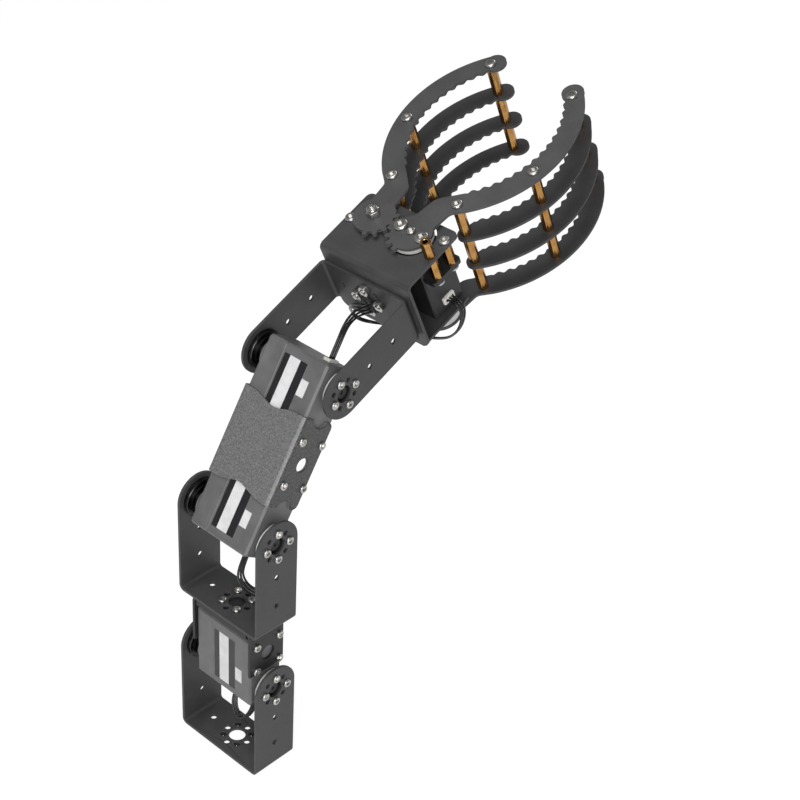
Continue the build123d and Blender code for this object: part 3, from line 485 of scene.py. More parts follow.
def skin(mesh, rows):
    """Faces between rows of as many points each, every row closed on itself."""
    for lower, upper in zip(rows, rows[1:]):
        for k in range(len(lower)):
            after = (k + 1) % len(lower)
            mesh.faces.new((lower[k], lower[after], upper[after], upper[k]))


def closed_skin(mesh, rows):
    """Skin with a face over its last row and one under its first."""
    skin(mesh, rows)
    mesh.faces.new(rows[-1])
    mesh.faces.new(reversed(rows[0]))


def round_angles(sides):
    return [2 * pi * k / sides for k in range(sides)]


def hexagon(angle, across):
    """Radius of a hexagon's outline at an angle."""
    turn = angle % (pi / 3) - pi / 6
    return across / 2 / cos(turn)


# Parts of a head's radius and height, from the plate up
HEAD_PROFILE = ((0.97, 0.0), (1.0, 0.12), (1.0, 0.6), (0.94, 0.84), (0.82, 0.97), (0.7, 1.0))
SOCKET_FLOOR = 0.35


def head(mesh, place, radius, height, socket):
    """Pan head with a hexagon socket, standing on a place whose Z leaves the plate."""
    angles = round_angles(HEAD_SEGMENTS)
    rings = [
        [(radius * out * cos(a), radius * out * sin(a), height * up) for a in angles]
        for out, up in HEAD_PROFILE
    ]
    for depth in (height, height * SOCKET_FLOOR):
        rings.append(
            [(hexagon(a, socket) * cos(a), hexagon(a, socket) * sin(a), depth) for a in angles]
        )
    closed_skin(mesh, [[mesh.verts.new(place @ Vector(point)) for point in ring] for ring in rings])


def turned(mesh, place, section, sides=ROUND_SIDES, across=None):
    """Ring from a closed section of radii and heights, cut to a hexagon if it has a width."""
    angles = round_angles(sides)
    rows = []
    for radius, height in section:
        reach = [min(radius, hexagon(a, across)) if across else radius for a in angles]
        points = [(r * cos(a), r * sin(a), height) for r, a in zip(reach, angles)]
        rows.append([mesh.verts.new(place @ Vector(point)) for point in points])
    skin(mesh, rows + rows[:1])


def standing(x, y, z, direction):
    """Place at a point whose Z points in a direction."""
    turn = Vector((0, 0, 1)).rotation_difference(Vector(direction)).to_matrix().to_4x4()
    return Matrix.Translation((x, y, z)) @ turn


def cross_places(radius):
    return [(radius, 0), (0, radius), (-radius, 0), (0, -radius)]


def diagonal_places(radius):
    step = radius * cos(pi / 4)
    return [(step, step), (-step, step), (-step, -step), (step, -step)]


PLAIN_HEAD = (HEAD_RADIUS, HEAD_HEIGHT, HEAD_SOCKET)
SIDE_HEAD = (HEAD_RADIUS, LOW_HEAD, HEAD_SOCKET)
PAN_HEAD = (PAN_RADIUS, PAN_HEIGHT, PAN_SOCKET)
CASE_HEAD = (CASE_SCREW_RADIUS, CASE_SCREW_HEIGHT, CASE_SCREW_SOCKET)
DRIVE_HEAD = (DRIVE_SCREW_RADIUS, DRIVE_SCREW_HEIGHT, DRIVE_SCREW_SOCKET)
CENTRE_HEAD = (HEAD_RADIUS, DRIVE_SCREW_HEIGHT, PAN_SOCKET)
HEAD_TURN = 0.7


def heads(name, link, places, body, nodes=(), form=PLAIN_HEAD):
    """One object of equal screw heads, each turned a little differently from the last."""
    mesh = bmesh.new()
    for count, place in enumerate(places):
        head(mesh, place @ Matrix.Rotation(HEAD_TURN * count, 4, "Z"), *form)
    add_piece(name, mesh, link, STEEL, body, nodes, SHARP)


LEFT = (-1, 0, 0)
RIGHT = (1, 0, 0)
UP = (0, 0, 1)
DOWN = (0, 0, -1)
FRONT = (0, -1, 0)
BACK = (0, 1, 0)

for joint, link, body in (
    ("shoulder", SHOULDER, "base"),
    ("elbow", ELBOW_UPRIGHT, "lower_link"),
    ("wrist", WRIST @ TURN_OVER, "wrist"),
):
    places = [standing(-ARM_OUTSIDE, y, z, LEFT) for y, z in cross_places(BOLT_CIRCLE)]
    places += [standing(ARM_OUTSIDE, y, z, RIGHT) for y, z in cross_places(BOLT_CIRCLE)]
    heads(f"{joint}_arm_screws", link, places, body, [f"{joint}_disc_screws"])

SPREAD = SIDE_SCREW_SPREAD / 2
for name, link, rows, body, node in (
    ("mount_side_screws", SHOULDER, SIDE_SCREWS, "lower_link", "servo_mount_screws"),
    (
        "twin_side_screws",
        ELBOW,
        (SIDE_SCREWS[1], LINK_LENGTH - SIDE_SCREWS[1]),
        "mid_link",
        "twin_bracket_screws",
    ),
):
    spots = [(y, z) for y in (-SPREAD, SPREAD) for z in rows]
    places = [standing(BRACKET_LEFT, y, z, LEFT) for y, z in spots]
    heads(f"{name}_left", link, places, body, form=SIDE_HEAD)
    places = [standing(BRACKET_RIGHT, y, z, RIGHT) for y, z in spots]
    heads(name, link, places, body, [node])

heads(
    "web_screws",
    ELBOW_UPRIGHT,
    [standing(x, y, SHEET - AXIS_HEIGHT, UP) for x, y in diagonal_places(BOLT_CIRCLE)],
    "lower_link",
    ["link_screws"],
)
heads(
    "frame_back_screws",
    WRIST,
    [standing(x, y, AXIS_HEIGHT + SHEET, UP) for x, y in cross_places(BOLT_CIRCLE)],
    "wrist",
    ["frame_screws"],
)

ear_places = [
    (FRAME_CENTRE + side * EAR_HOLES / 2, PIVOT_REACH + end * EAR_HOLE_SPREAD / 2)
    for side in (-1, 1)
    for end in (-1, 1)
]
plate_places = [ear_places[0], ear_places[3]]
heads(
    "servo_hanger_screws",
    WRIST,
    [standing(x, FRAME_TOP, z, FRONT) for x, z in plate_places]
    + [standing(x, EAR_FACE + EAR_THICKNESS, z, BACK) for x, z in ear_places],
    "wrist",
    ["servo_screws"],
    PAN_HEAD,
)

for name, pivot, way, _ in FINGERS:
    spots = [(pivot + way * x, PIVOT_REACH + z) for x, z in STANDOFF_PLACES]
    places = [standing(x, PLATE_FACES[0], z, FRONT) for x, z in spots]
    places += [standing(x, PLATE_FACES[3] + SHEET, z, BACK) for x, z in spots]
    heads(
        f"{name}_blade_screws",
        WRIST,
        places,
        f"{name}_finger",
        [f"{name}_finger_screws"],
        PAN_HEAD,
    )

screw_turn = radians(DRIVE_SCREW_ANGLE)
drive_spots = [
    (
        DRIVE_AXIS + side * BOLT_CIRCLE * cos(screw_turn),
        PIVOT_REACH + side * BOLT_CIRCLE * sin(screw_turn),
    )
    for side in (-1, 1)
]
mesh = bmesh.new()
for x, z in drive_spots:
    head(mesh, standing(x, PLATE_FACES[0], z, FRONT), *DRIVE_HEAD)
head(mesh, standing(DRIVE_AXIS, PLATE_FACES[0], PIVOT_REACH, FRONT), *CENTRE_HEAD)
for x, z in cross_places(BOLT_CIRCLE):
    spot = standing(DRIVE_AXIS + x, PLATE_FACES[3] + SHEET, PIVOT_REACH + z, BACK)
    head(mesh, spot, *PLAIN_HEAD)
add_piece("horn_screws", mesh, WRIST, STEEL, "drive_finger", ["drive_screws"], SHARP)

# Small screws in the gear cases
for joint, link, body in SERVOS:
    places = [
        standing(OUTPUT_FACE, y, CASE_SCREW_RISE - CASE_NEAR, LEFT)
        for y in (-CASE_SCREW_OFFSET, CASE_SCREW_OFFSET)
    ]
    heads(f"{joint}_case_screws", link, places, body, form=CASE_HEAD)


# Discs: a flange with a hub behind it. Where a bracket's centre hole shows its middle, it has a
# boss
# in a recess, and painted shadow: a thin dark sheet on its face and round the boss. Each section
# is a list of radii and heights.

DISC_FRONT = [
    (9.7, -2.6),
    (10.0, -2.3),
    (10.0, -0.3),
    (9.7, 0.0),
    (4.25, 0.0),
    (4.2, -1.4),
    (0.6, -1.4),
]
# Painted shadow: a thin dark ring round the boss in the recess, and a thin dark sheet on the disc
# face, which shows through the bracket's holes
SHADOW_SHEET_SECTION = [
    (3.2, -1.36),
    (4.3, -1.36),
    (4.3, -0.03),
    (9.4, -0.03),
    (9.4, 0.02),
    (4.1, 0.02),
    (4.1, -1.2),
    (3.2, -1.2),
]
BOSS_SECTION = [
    (0.8, -1.35),
    (3.1, -1.35),
    (3.1, -0.25),
    (2.9, -0.05),
    (1.0, -0.05),
    (0.8, -0.25),
]
OUTPUT_SECTION = [(0.6, -6.3), (6.0, -6.3), (6.0, -3.8), (8.0, -3.8), (8.0, -2.6), *DISC_FRONT]
IDLER_SECTION = [
    (4.05, -5.3),
    (5.2, -5.3),
    (5.5, -5.1),
    (5.5, -2.6),
    *DISC_FRONT,
    (0.6, -2.4),
    (4.05, -2.4),
]
for joint, link, body in (
    ("shoulder", SHOULDER, "base"),
    ("elbow", ELBOW_UPRIGHT, "lower_link"),
    ("wrist", WRIST, "wrist"),
    ("gripper", GRIPPER_SERVO, "drive_finger"),
):
    # The gripper's output disc has the pale rim: a painted reflection on a silver rim
    output_metal = SILVER_RIM_PAINTED_REFLECTION if joint == "gripper" else DARK_METAL
    for end, face, way, section, metal_of_disc in (
        ("output", -ARM_INSIDE, LEFT, OUTPUT_SECTION, output_metal),
        # The idler discs have the pale rim: a painted reflection
        ("idler", ARM_INSIDE, RIGHT, IDLER_SECTION, GREY_RIM_PAINTED_REFLECTION),
    ):
        node = f"{joint}_{end}_disc"
        forms = [
            ("turned", section, DISC_SIDES, metal_of_disc, [node], SHARP_DISC),
            ("boss", BOSS_SECTION, BOSS_SIDES, MOUNT_COAT, [], SHARP),
            # Thin dark sheets of painted shadow
            ("well", SHADOW_SHEET_SECTION, SHADOW_SHEET_SIDES, SOCKET_DARK, [], None),
        ]
        if joint == "gripper":
            del forms[1:]
        for form, ring, sides, material, nodes, sharp in forms:
            mesh = bmesh.new()
            turned(mesh, standing(face, 0, 0, way), ring, sides)
            name = f"{joint}_{end}_{form}"
            add_piece(name, mesh, link, material, body, nodes, sharp)

# Dark fillings in the diagonal holes of the base bracket
FILLING_SECTION = [(0.3, 0.0), (1.5, 0.0), (1.5, 0.6), (1.2, 0.75), (0.5, 0.5)]
FILLING_RISE = 0.05
mesh = bmesh.new()
for x, y in diagonal_places(BOLT_CIRCLE):
    turned(mesh, Matrix.Translation((x, y, FILLING_RISE)), FILLING_SECTION, ROD_SIDES)
add_piece("base_hole_dark_fillings", mesh, Matrix.Scale(MM, 4), SOCKET_DARK, "base")


ROD_CHAMFER = 0.3


def rod(mesh, place, radius, height):
    """Round rod with a chamfered end, standing on a place."""
    profile = ((radius, 0.0), (radius, height - ROD_CHAMFER), (radius - ROD_CHAMFER, height))
    angles = round_angles(ROD_SIDES)
    rows = [
        [mesh.verts.new(place @ Vector((r * cos(a), r * sin(a), z))) for a in angles]
        for r, z in profile
    ]
    closed_skin(mesh, rows)


LOCK_NUT_SECTION = [
    (1.7, 0.0),
    (2.8, 0.0),
    (3.3, 0.3),
    (3.3, 2.8),
    (2.8, 3.1),
    (2.6, 3.2),
    (2.6, 4.3),
    (2.35, 4.6),
    (2.1, 4.6),
    (1.95, 4.3),
    (1.7, 4.2),
]
mesh = bmesh.new()
for face, way in ((PLATE_FACES[0], FRONT), (PLATE_FACES[3] + SHEET, BACK)):
    place = standing(IDLER_AXIS, face, PIVOT_REACH, way)
    turned(mesh, place, LOCK_NUT_SECTION, across=LOCK_NUT_WIDTH)
    head(mesh, place @ Matrix.Translation((0, 0, LOCK_PIN_RISE)), *LOCK_PIN)
add_piece("idler_lock_nuts", mesh, WRIST, STEEL, "wrist", ["lock_nuts"], SHARP)


def bar(mesh, place, length, bore=BAR_BORE):
    """Hexagon bar with chamfered ends and a bore."""
    corner = BAR_WIDTH / 2 / cos(pi / 6)
    section = [
        (bore, 0.0),
        (BAR_WIDTH / 2, 0.0),
        (corner, BAR_CHAMFER),
        (corner, length - BAR_CHAMFER),
        (BAR_WIDTH / 2, length),
        (bore + BORE_CHAMFER, length),
        (bore, length - BORE_CHAMFER_DEPTH),
    ]
    turned(mesh, place, section, across=BAR_WIDTH)


def bars(name, spots, body, node):
    """One object of hexagon bars in the wrist frame, each with its place, length and bore."""
    mesh = bmesh.new()
    for spot in spots:
        bar(mesh, *spot)
    add_piece(name, mesh, WRIST, BRASS, body, [node], SHARP)


for name, pivot, way, _ in FINGERS:
    spots = [
        (standing(pivot + way * x, face + SHEET, PIVOT_REACH + z, BACK), TIER)
        for x, z in STANDOFF_PLACES
        for face in PLATE_FACES[:3]
    ]
    bars(f"{name}_finger_bars", spots, f"{name}_finger", f"{name}_finger_standoffs")
spots = [
    (standing(x, FRAME_TOP + SHEET, z, BACK), EAR_FACE - FRAME_TOP - SHEET) for x, z in ear_places
]
bars("servo_bars", spots, "wrist", "servo_standoffs")
x, z = ear_places[2]
spots = [(standing(x, FRAME_TOP, z, FRONT), POST_HEIGHT, POST_BORE)]
bars("stop_post_bar", spots, "wrist", "stop_post")

# Ends of the screws that stand out of the nuts
for name, link, body, spots, height in (
    ("wrist", WRIST, "wrist", cross_places(BOLT_CIRCLE), AXIS_HEIGHT),
    ("link", SHOULDER, "lower_link", diagonal_places(BOLT_CIRCLE), MOUNT_HEIGHT),
):
    mesh = bmesh.new()
    for x, y in spots:
        place = standing(x, y, height - SHEET - NUT_HEIGHT, DOWN)
        rod(mesh, place, THREAD_RADIUS, THREAD_LENGTH)
    add_piece(f"{name}_thread_ends", mesh, link, STEEL, body, (), SHARP)


# Finger plates. Steps of arcs are in degrees.

BACK_STEP = 2.0
BEND_STEP = 6.0
TIP_STEP = 8.0


def on_circle(centre, radius, angle):
    """Point on a circle, the angle in degrees from the outward direction."""
    return (
        centre[0] + radius * cos(radians(angle)),
        centre[1] + radius * sin(radians(angle)),
    )


def arc(centre, radius, start, end, step):
    """Points along an arc, both ends included."""
    count = max(2, round(abs(end - start) / step))
    return [on_circle(centre, radius, start + (end - start) * k / count) for k in range(count + 1)]


def bearing(centre, point):
    """Angle of a point seen from a centre, in degrees."""
    return degrees(atan2(point[1] - centre[1], point[0] - centre[0]))


def far_from(centre, radius, points):
    return [p for p in points if hypot(p[0] - centre[0], p[1] - centre[1]) > radius]


def bent(before, corner, after, radius):
    """Arc that rounds a corner between two straight edges."""
    before, corner, after = Vector(before), Vector(corner), Vector(after)
    inward = (before - corner).normalized()
    outward = (after - corner).normalized()
    half = inward.angle(outward) / 2
    middle = corner + (inward + outward).normalized() * radius / sin(half)
    first = corner + inward * radius / tan(half)
    last = corner + outward * radius / tan(half)
    start = bearing(middle, first)
    turn = (bearing(middle, last) - start + 180) % 360 - 180
    return arc(middle, radius, start, start + turn, BEND_STEP)


def gripping_edge():
    """Waved inner edge, from tip to root."""
    points = []
    steps = WAVES * WAVE_STEPS
    for k in range(steps + 1):
        angle = INNER_END + (INNER_START - INNER_END) * k / steps
        phase = (k % WAVE_STEPS) / WAVE_STEPS
        height = -WAVE_DEPTH / 2 * cos(2 * pi * (phase - 1 / 3))
        points.append(on_circle(INNER_CENTRE, INNER_RADIUS + height, angle))
    return points


def blade_outline(start):
    """Outline from the root of the gripping edge, round the tip and down the outer arc."""
    edge = far_from(TIP_CENTRE, TIP_RADIUS, gripping_edge())
    outer = arc(OUTER_CENTRE, OUTER_RADIUS, OUTER_END, start, BACK_STEP)
    back = far_from(TIP_CENTRE, TIP_RADIUS, outer)
    from_angle = bearing(TIP_CENTRE, edge[0])
    to_angle = bearing(TIP_CENTRE, back[0])
    while from_angle < to_angle:
        from_angle += 360
    tip = arc(TIP_CENTRE, TIP_RADIUS, from_angle, to_angle, TIP_STEP)
    return list(reversed(edge)) + tip + back


def tooth_half_angle(radius):
    """Half the angle that an involute tooth spans at a radius, in degrees."""
    at_pitch = tan(radians(PRESSURE_ANGLE)) - radians(PRESSURE_ANGLE)
    pressure = acos(min(1, BASE_RADIUS / radius))
    at_radius = tan(pressure) - pressure
    return 90 / GEAR_TEETH - BACKLASH + degrees(at_pitch - at_radius)


def tooth(angle):
    """Points clockwise over one tooth, its angle in degrees from the outward direction."""
    between = (BASE_RADIUS + PITCH_RADIUS) / 2
    radii = [GEAR_ROOT, BASE_RADIUS, between, PITCH_RADIUS, GEAR_TIP]
    flank = [(radius, tooth_half_angle(max(radius, BASE_RADIUS))) for radius in radii]
    rising = [on_circle((0, 0), radius, angle + half) for radius, half in flank]
    falling = [on_circle((0, 0), radius, angle - half) for radius, half in reversed(flank)]
    return rising + falling


def leaving_root(inner, outer):
    """Where the edge from a point inside the root circle crosses it."""
    start, way = Vector(inner), Vector(outer) - Vector(inner)
    a, b, c = way.dot(way), 2 * start.dot(way), start.dot(start) - GEAR_ROOT**2
    return tuple(start + way * ((-b + (b * b - 4 * a * c) ** 0.5) / (2 * a)))


def gear_outline(teeth):
    """Outline of a full plate: blade, neck and gear sector."""
    blade = blade_outline(OUTER_START)
    outer_corner, outer_foot = NECK_OUTER
    inner_foot, inner_corner = NECK_INNER
    neck_out = leaving_root(outer_foot, outer_corner)
    neck_in = leaving_root(inner_foot, inner_corner)
    points = bent(blade[-1], outer_corner, outer_foot, NECK_OUTER_BEND) + [neck_out]
    angle = bearing((0, 0), neck_out)
    for turn in sorted((180 - turn for turn in teeth), reverse=True):
        centre = turn - 360
        half = tooth_half_angle(BASE_RADIUS)
        points += arc((0, 0), GEAR_ROOT, angle, centre + half, BEND_STEP)[1:-1]
        points += tooth(centre)
        angle = centre - half
    points += arc((0, 0), GEAR_ROOT, angle, bearing((0, 0), neck_in) - 360, BEND_STEP)[1:]
    points += bent(inner_foot, inner_corner, blade[0], NECK_INNER_BEND)
    return blade + points


def middle_outline():
    """Outline of a plate between, with a round end round its first standoff."""
    near = STANDOFF_PLACES[0]
    blade = blade_outline(MIDDLE_PLATE_START)
    start = bearing(near, blade[-1])
    end = bearing(near, (2 * near[0] - blade[-1][0], 2 * near[1] - blade[-1][1]))
    while end > start:
        end -= 360
    return blade + arc(near, MIDDLE_PLATE_END_RADIUS, start, end, TIP_STEP)[1:]


def plate(mesh, outline, pivot, way, face):
    """One plate of sheet with broken edges, its upper face at a height of the wrist frame."""

    def ring(height, inset):
        points = [Vector((pivot + way * x, PIVOT_REACH + y)) for x, y in outline]
        count = len(points)
        verts = []
        for k, point in enumerate(points):
            along = points[(k + 1) % count] - points[k - 1]
            side = Vector((along.y, -along.x)).normalized() * inset * -way
            verts.append(mesh.verts.new((point.x + side.x, height, point.y + side.y)))
        return verts

    rows = [
        ring(face, PLATE_EDGE),
        ring(face + PLATE_EDGE, 0.0),
        ring(face + SHEET - PLATE_EDGE, 0.0),
        ring(face + SHEET, PLATE_EDGE),
    ]
    skin(mesh, rows)
    mesh.faces.new(rows[0])
    mesh.faces.new(reversed(rows[-1]))


for name, pivot, way, teeth in FINGERS:
    for part, outline, faces, coat in (
        # The top plates take the lighter copy of the coat: painted light
        ("top_plate", gear_outline(teeth), PLATE_FACES[:1], TOP_PLATE_PAINTED_LIGHT_COAT),
        ("middle_plates", middle_outline(), PLATE_FACES[1:3], POWDER_COAT),
        ("bottom_plate", gear_outline(teeth), PLATE_FACES[3:], POWDER_COAT),
    ):
        mesh = bmesh.new()
        for face in faces:
            plate(mesh, outline, pivot, way, face)
        add_piece(
            f"{name}_{part}_waved",
            mesh,
            WRIST,
            coat,
            f"{name}_finger",
            [f"{name}_{part}"],
            SHARP_PLATE,
        )


# Labels: bare strips in the recess of each servo's front face

LABEL_LOW = -5.3
LABEL_TALL = 29.6
DARK_STRIPS = ((-5.0, 3.4), (4.9, 4.3))
WHITE_STRIP = (-1.6, 6.5)
SQUARE = (9.6, 1.5, 4.4, 7.8)
STRIP_PROUD = -0.06
SQUARE_PROUD = 0.08
LABEL_BACK = 0.3
BOX_FACES = ((0, 1, 2, 3), (7, 6, 5, 4), (0, 4, 5, 1), (1, 5, 6, 2), (2, 6, 7, 3), (3, 7, 4, 0))


def strip(mesh, x, z, width, height, proud):
    """Flat strip on the front face, from a corner."""
    low, high = CASE_FRONT - proud, CASE_FRONT + LABEL_BACK
    corners = [
        (x + side * width, y, z + end * height)
        for y in (low, high)
        for side, end in ((0, 0), (1, 0), (1, 1), (0, 1))
    ]
    verts = [mesh.verts.new(corner) for corner in corners]
    for face in BOX_FACES:
        mesh.faces.new([verts[k] for k in face])


for joint, link, body in SERVOS:
    low, (x, z, width, height) = LABEL_LOW, SQUARE
    if joint == "wrist":
        # This servo is turned over about X, and its labels are on the near side all the same
        link = link_frame(WRIST_JOINT, MIDDLE_LEAN)
        low, z = -low - LABEL_TALL, -z - height
    mesh = bmesh.new()
    for left, wide in DARK_STRIPS:
        strip(mesh, left, low, wide, LABEL_TALL, STRIP_PROUD)
    add_piece(f"{joint}_label_dark", mesh, link, LABEL_DARK, body)
    mesh = bmesh.new()
    strip(mesh, WHITE_STRIP[0], low, WHITE_STRIP[1], LABEL_TALL, STRIP_PROUD)
    strip(mesh, x, z, width, height, SQUARE_PROUD)
    add_piece(f"{joint}_label_white", mesh, link, LABEL_WHITE, body)


# Plugs: low blocks with a slot for each wire


def block(mesh, x, y, low, high, wide, deep, corner=PLUG_CORNER):
    """Box with cut corners, its sides parallel to a servo's X and Y."""
    outline = []
    for across, along in ((1, 1), (-1, 1), (-1, -1), (1, -1)):
        near = (x + across * (wide / 2 - corner), y + along * deep / 2)
        far = (x + across * wide / 2, y + along * (deep / 2 - corner))
        outline += [far, near] if across * along > 0 else [near, far]
    step = PLUG_CHAMFER if high > low else -PLUG_CHAMFER
    levels = ((low, 0.0), (high - step, 0.0), (high, PLUG_CHAMFER))
    rows = []
    for z, inset in levels:
        scale = 1 - 2 * inset / wide, 1 - 2 * inset / deep
        ring = [(x + (px - x) * scale[0], y + (py - y) * scale[1], z) for px, py in outline]
        rows.append([mesh.verts.new(point) for point in ring])
    closed_skin(mesh, rows)


for joint, link, body in SERVOS:
    top = -CASE_NEAR - (ELBOW_PLUG_PROUD if joint == "elbow" else PLUG_PROUD)
    mesh = bmesh.new()
    block(mesh, PLUG_FROM_MIDDLE, 0, -CASE_NEAR, top, PLUG_ACROSS, PLUG_WIDE)
    node = f"{joint}_servo_plug"
    add_piece(f"{joint}_plug_block", mesh, link, PLUG_WHITE, body, [node])
    mesh = bmesh.new()
    low, high = top + SLOT_SUNK, top - SLOT_PROUD
    for y in (-SLOT_SPACING, 0.0, SLOT_SPACING):
        block(mesh, PLUG_FROM_MIDDLE, y, low, high, SLOT_ACROSS, SLOT_WIDE, SLOT_CORNER)
    add_piece(f"{joint}_plug_slots", mesh, link, SOCKET_DARK, body)


# Leads of three wires: the lower route in the model's frame, the gripper's in the wrist frame

LOWER_ROUTE = (
    (12.3, -8.6, 112.0),
    (13.2, -3.6, 103.8),
    (12.8, 3.0, 98.8),
    (12.0, 10.0, 95.2),
    (10.8, 15.6, 89.5),
    (9.0, 16.2, 78.0),
    (5.5, 14.4, 63.0),
    (1.5, 14.2, 49.0),
    (-1.2, 13.2, 39.0),
    (-1.5, 6.5, 33.5),
    (-0.8, -0.8, 29.0),
    (2.2, -3.8, 23.5),
    (7.0, -4.3, 20.0),
    (11.6, -3.0, 24.0),
)
GRIPPER_ROUTE = (
    (11.4, -13.8, 24.5),
    (9.6, -11.6, 32.5),
    (8.6, -6.6, 38.8),
    (7.0, -2.0, 43.4),
    (1.0, 1.6, 43.5),
    (-6.5, 5.2, 43.3),
    (-13.0, 10.4, 44.0),
    (-16.2, 16.6, 45.4),
    (-15.4, 22.8, 47.2),
    (-11.6, 27.2, 50.8),
    (-4.0, 27.6, 53.6),
    (5.5, 27.0, 54.8),
    (14.5, 26.8, 56.2),
    (22.4, 28.4, 59.2),
    (27.2, 30.2, 64.4),
    (29.2, 27.6, 70.0),
    (29.8, 21.8, 73.6),
    (29.6, 16.8, 74.4),
)


def smooth_line(points):
    """Points read from the smooth spline through a route, in metres."""
    curve = bpy.data.curves.new("route", "CURVE")
    curve.dimensions = "3D"
    spline = curve.splines.new("NURBS")
    spline.points.add(len(points) - 1)
    for knot, point in zip(spline.points, points):
        knot.co = (*(Vector(point) * MM), 1)
    spline.order_u = 3
    spline.use_endpoint_u = True
    spline.resolution_u = 8
    route = bpy.data.objects.new("route", curve)
    bpy.context.collection.objects.link(route)
    line = bpy.data.meshes.new_from_object(route)
    path = [vert.co.copy() for vert in line.vertices]
    bpy.data.objects.remove(route)
    bpy.data.curves.remove(curve)
    bpy.data.meshes.remove(line)
    return path


def row_of_pins(link):
    """Direction in which a servo's pins stand beside each other, in the model's frame."""
    return (link.to_3x3() @ Vector((0, 1, 0))).normalized()


def wires(name, points, first_side, last_side, node, crossing):
    """Flat lead: three wires side by side, which turn from one plug's row to the other's.

    The crossing, two bodies and two points, is not used.
    """
    path = smooth_line(points)
    mesh = bmesh.new()
    side = first_side
    frames = []
    for k, point in enumerate(path):
        ahead = (path[min(k + 1, len(path) - 1)] - path[max(k - 1, 0)]).normalized()
        side = (side - ahead * side.dot(ahead)).normalized()
        frames.append((point, side.copy(), ahead.cross(side)))
    left_over = atan2(last_side.dot(frames[-1][2]), last_side.dot(frames[-1][1]))
    left_over = (left_over + pi / 2) % pi - pi / 2
    turns = round_angles(WIRE_SIDES)
    for strand in (-1, 0, 1):
        rows = []
        for k, (point, across, up) in enumerate(frames):
            part = k / (len(frames) - 1)
            turn = left_over * part
            wide = across * cos(turn) + up * sin(turn)
            thick = up * cos(turn) - across * sin(turn)
            slack = WIRE_SLACK * sin(pi * part)
            lift = slack * sin(2 * pi * (LIFT_WAVES * part + LIFT_SHIFT * strand))
            sway = sin(2 * pi * (SPREAD_WAVES * part + SPREAD_SHIFT * strand))
            spread = strand * WIRE_SPACING + slack * SPREAD_PART * sway
            centre = point + (wide * spread + thick * lift) * MM
            ring = [(wide * cos(t) + thick * sin(t)) * WIRE_RADIUS * MM for t in turns]
            rows.append([mesh.verts.new(centre + offset) for offset in ring])
        closed_skin(mesh, rows)
    obj = add_piece(name, mesh, Matrix.Identity(4), INSULATION, None, [node])
    obj.data.polygons.foreach_set("use_smooth", [True] * len(obj.data.polygons))
    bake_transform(obj)


def out_of_plug(link, *distances):
    """Points straight out of a servo's plug, at distances below the case."""
    return [point_of(link, PLUG_FROM_MIDDLE, 0, -CASE_NEAR - out) for out in distances]


wires(
    "elbow_lead_wires",
    [
        *out_of_plug(ELBOW, ELBOW_WIRE_START, PLUG_RUN),
        *LOWER_ROUTE,
        *out_of_plug(SHOULDER, PLUG_RUN, WIRE_START),
    ],
    row_of_pins(ELBOW),
    row_of_pins(SHOULDER),
    "lower_lead",
    ("lower_link", "mid_link", LOWER_ROUTE[4], LOWER_ROUTE[0]),
)
wires(
    "claw_lead_wires",
    [
        *out_of_plug(WRIST_BELOW, WIRE_START, PLUG_RUN),
        *[point_of(WRIST, *point) for point in GRIPPER_ROUTE],
        *out_of_plug(GRIPPER_SERVO, TIGHT_PLUG_RUN, WIRE_START),
    ],
    row_of_pins(WRIST_BELOW),
    row_of_pins(GRIPPER_SERVO),
    "gripper_lead",
    (
        "mid_link",
        "wrist",
        *out_of_plug(WRIST_BELOW, BLEND_RUN),
        point_of(WRIST, *GRIPPER_ROUTE[3]),
    ),
)


# Floor, light and camera

FLOOR_SIZE = 12
FLOOR_DROP = 0.0002
FLOOR_GLOW = 1.2
GLOW_TO_CAMERA = 0.75
GLOW_TO_GLOSS = 0.4
WORLD_LIGHT = 0.18


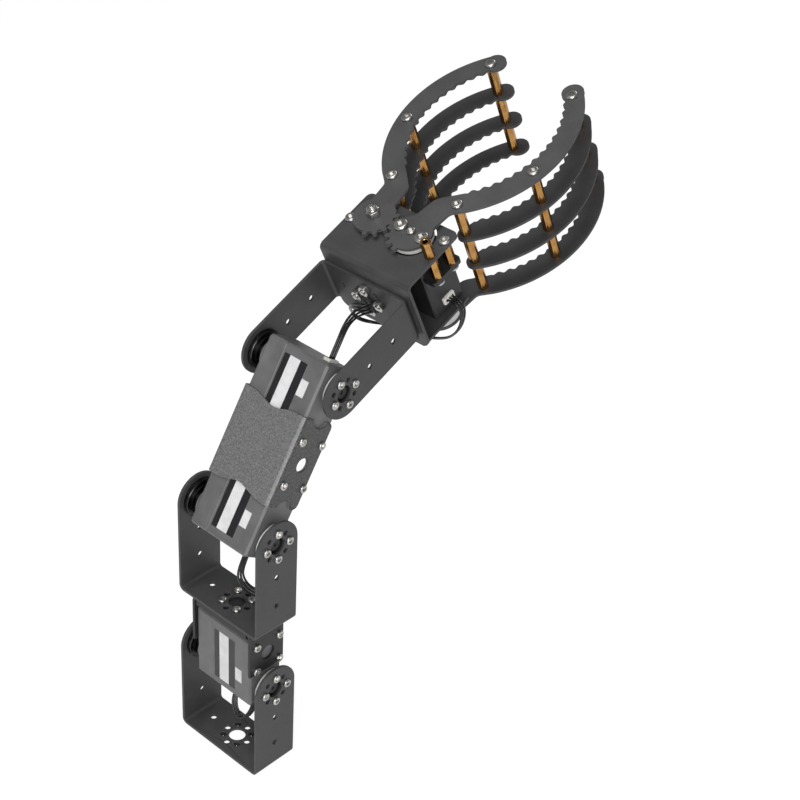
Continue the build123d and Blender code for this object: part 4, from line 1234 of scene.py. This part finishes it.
def white_floor():
    """Pale floor that reads as white to the camera and keeps the object's shadow."""
    material, shader, _ = surface("studio_floor", (0.8, 0.8, 0.8), 0.6)
    tree = material.node_tree
    glow = make_node(tree, "Emission", None, Strength=FLOOR_GLOW)
    rays = tree.nodes.new("ShaderNodeLightPath")
    direct = Wire(tree, rays.outputs["Is Camera Ray"])
    mirrored = Wire(tree, rays.outputs["Is Glossy Ray"])
    seen = direct * GLOW_TO_CAMERA + mirrored * GLOW_TO_GLOSS
    mixed = make_node(
        tree, "MixShader", None, _0=seen, _1=Wire(tree, shader.outputs[0]), _2=glow
    )
    tree.links.new(mixed.socket, tree.nodes["Material Output"].inputs["Surface"])
    return material


bpy.ops.mesh.primitive_plane_add(size=FLOOR_SIZE, location=(0, 0, -FLOOR_DROP))
floor = bpy.context.object
floor.name = "floor"
floor.data.materials.append(white_floor())

world = bpy.data.worlds.new("studio")
bpy.context.scene.world = world
world.use_nodes = True
backdrop = world.node_tree.nodes["Background"]
backdrop.inputs["Color"].default_value = (1, 1, 1, 1)
backdrop.inputs["Strength"].default_value = WORLD_LIGHT


def softbox(name, place, target, size, power):
    """Square area lamp that looks at a point."""
    lamp = bpy.data.lights.new(name, "AREA")
    lamp.size = size
    lamp.energy = power
    obj = bpy.data.objects.new(name, lamp)
    bpy.context.collection.objects.link(obj)
    obj.location = place
    way = Vector(target) - Vector(place)
    obj.rotation_euler = way.to_track_quat("-Z", "Y").to_euler()


AIM = (0, 0.06, 0.15)
softbox("right_front", (0.87, -0.89, 0.71), AIM, 0.8, 14)
softbox("overhead", (-0.1, -0.4, 1.6), AIM, 0.8, 9)
softbox("rear", (-0.3, 1.3, 1.1), AIM, 0.7, 4)

CAMERA_PLACE = (0.46448, -0.42283, 0.61108)
CAMERA_RIGHT = Vector((0.7296, 0.6819, 0.0508))
CAMERA_UP = Vector((-0.4031, 0.3689, 0.8375))
CAMERA_LENS = 76.81
camera_data = bpy.data.cameras.new("camera")
camera_data.sensor_width = 36
camera_data.lens = CAMERA_LENS
camera = bpy.data.objects.new("camera", camera_data)
bpy.context.collection.objects.link(camera)
turn = Matrix((CAMERA_RIGHT, CAMERA_UP, CAMERA_RIGHT.cross(CAMERA_UP))).transposed()
camera.matrix_world = Matrix.Translation(CAMERA_PLACE) @ turn.to_4x4()
bpy.context.scene.camera = camera
bpy.context.scene.view_settings.view_transform = "Standard"
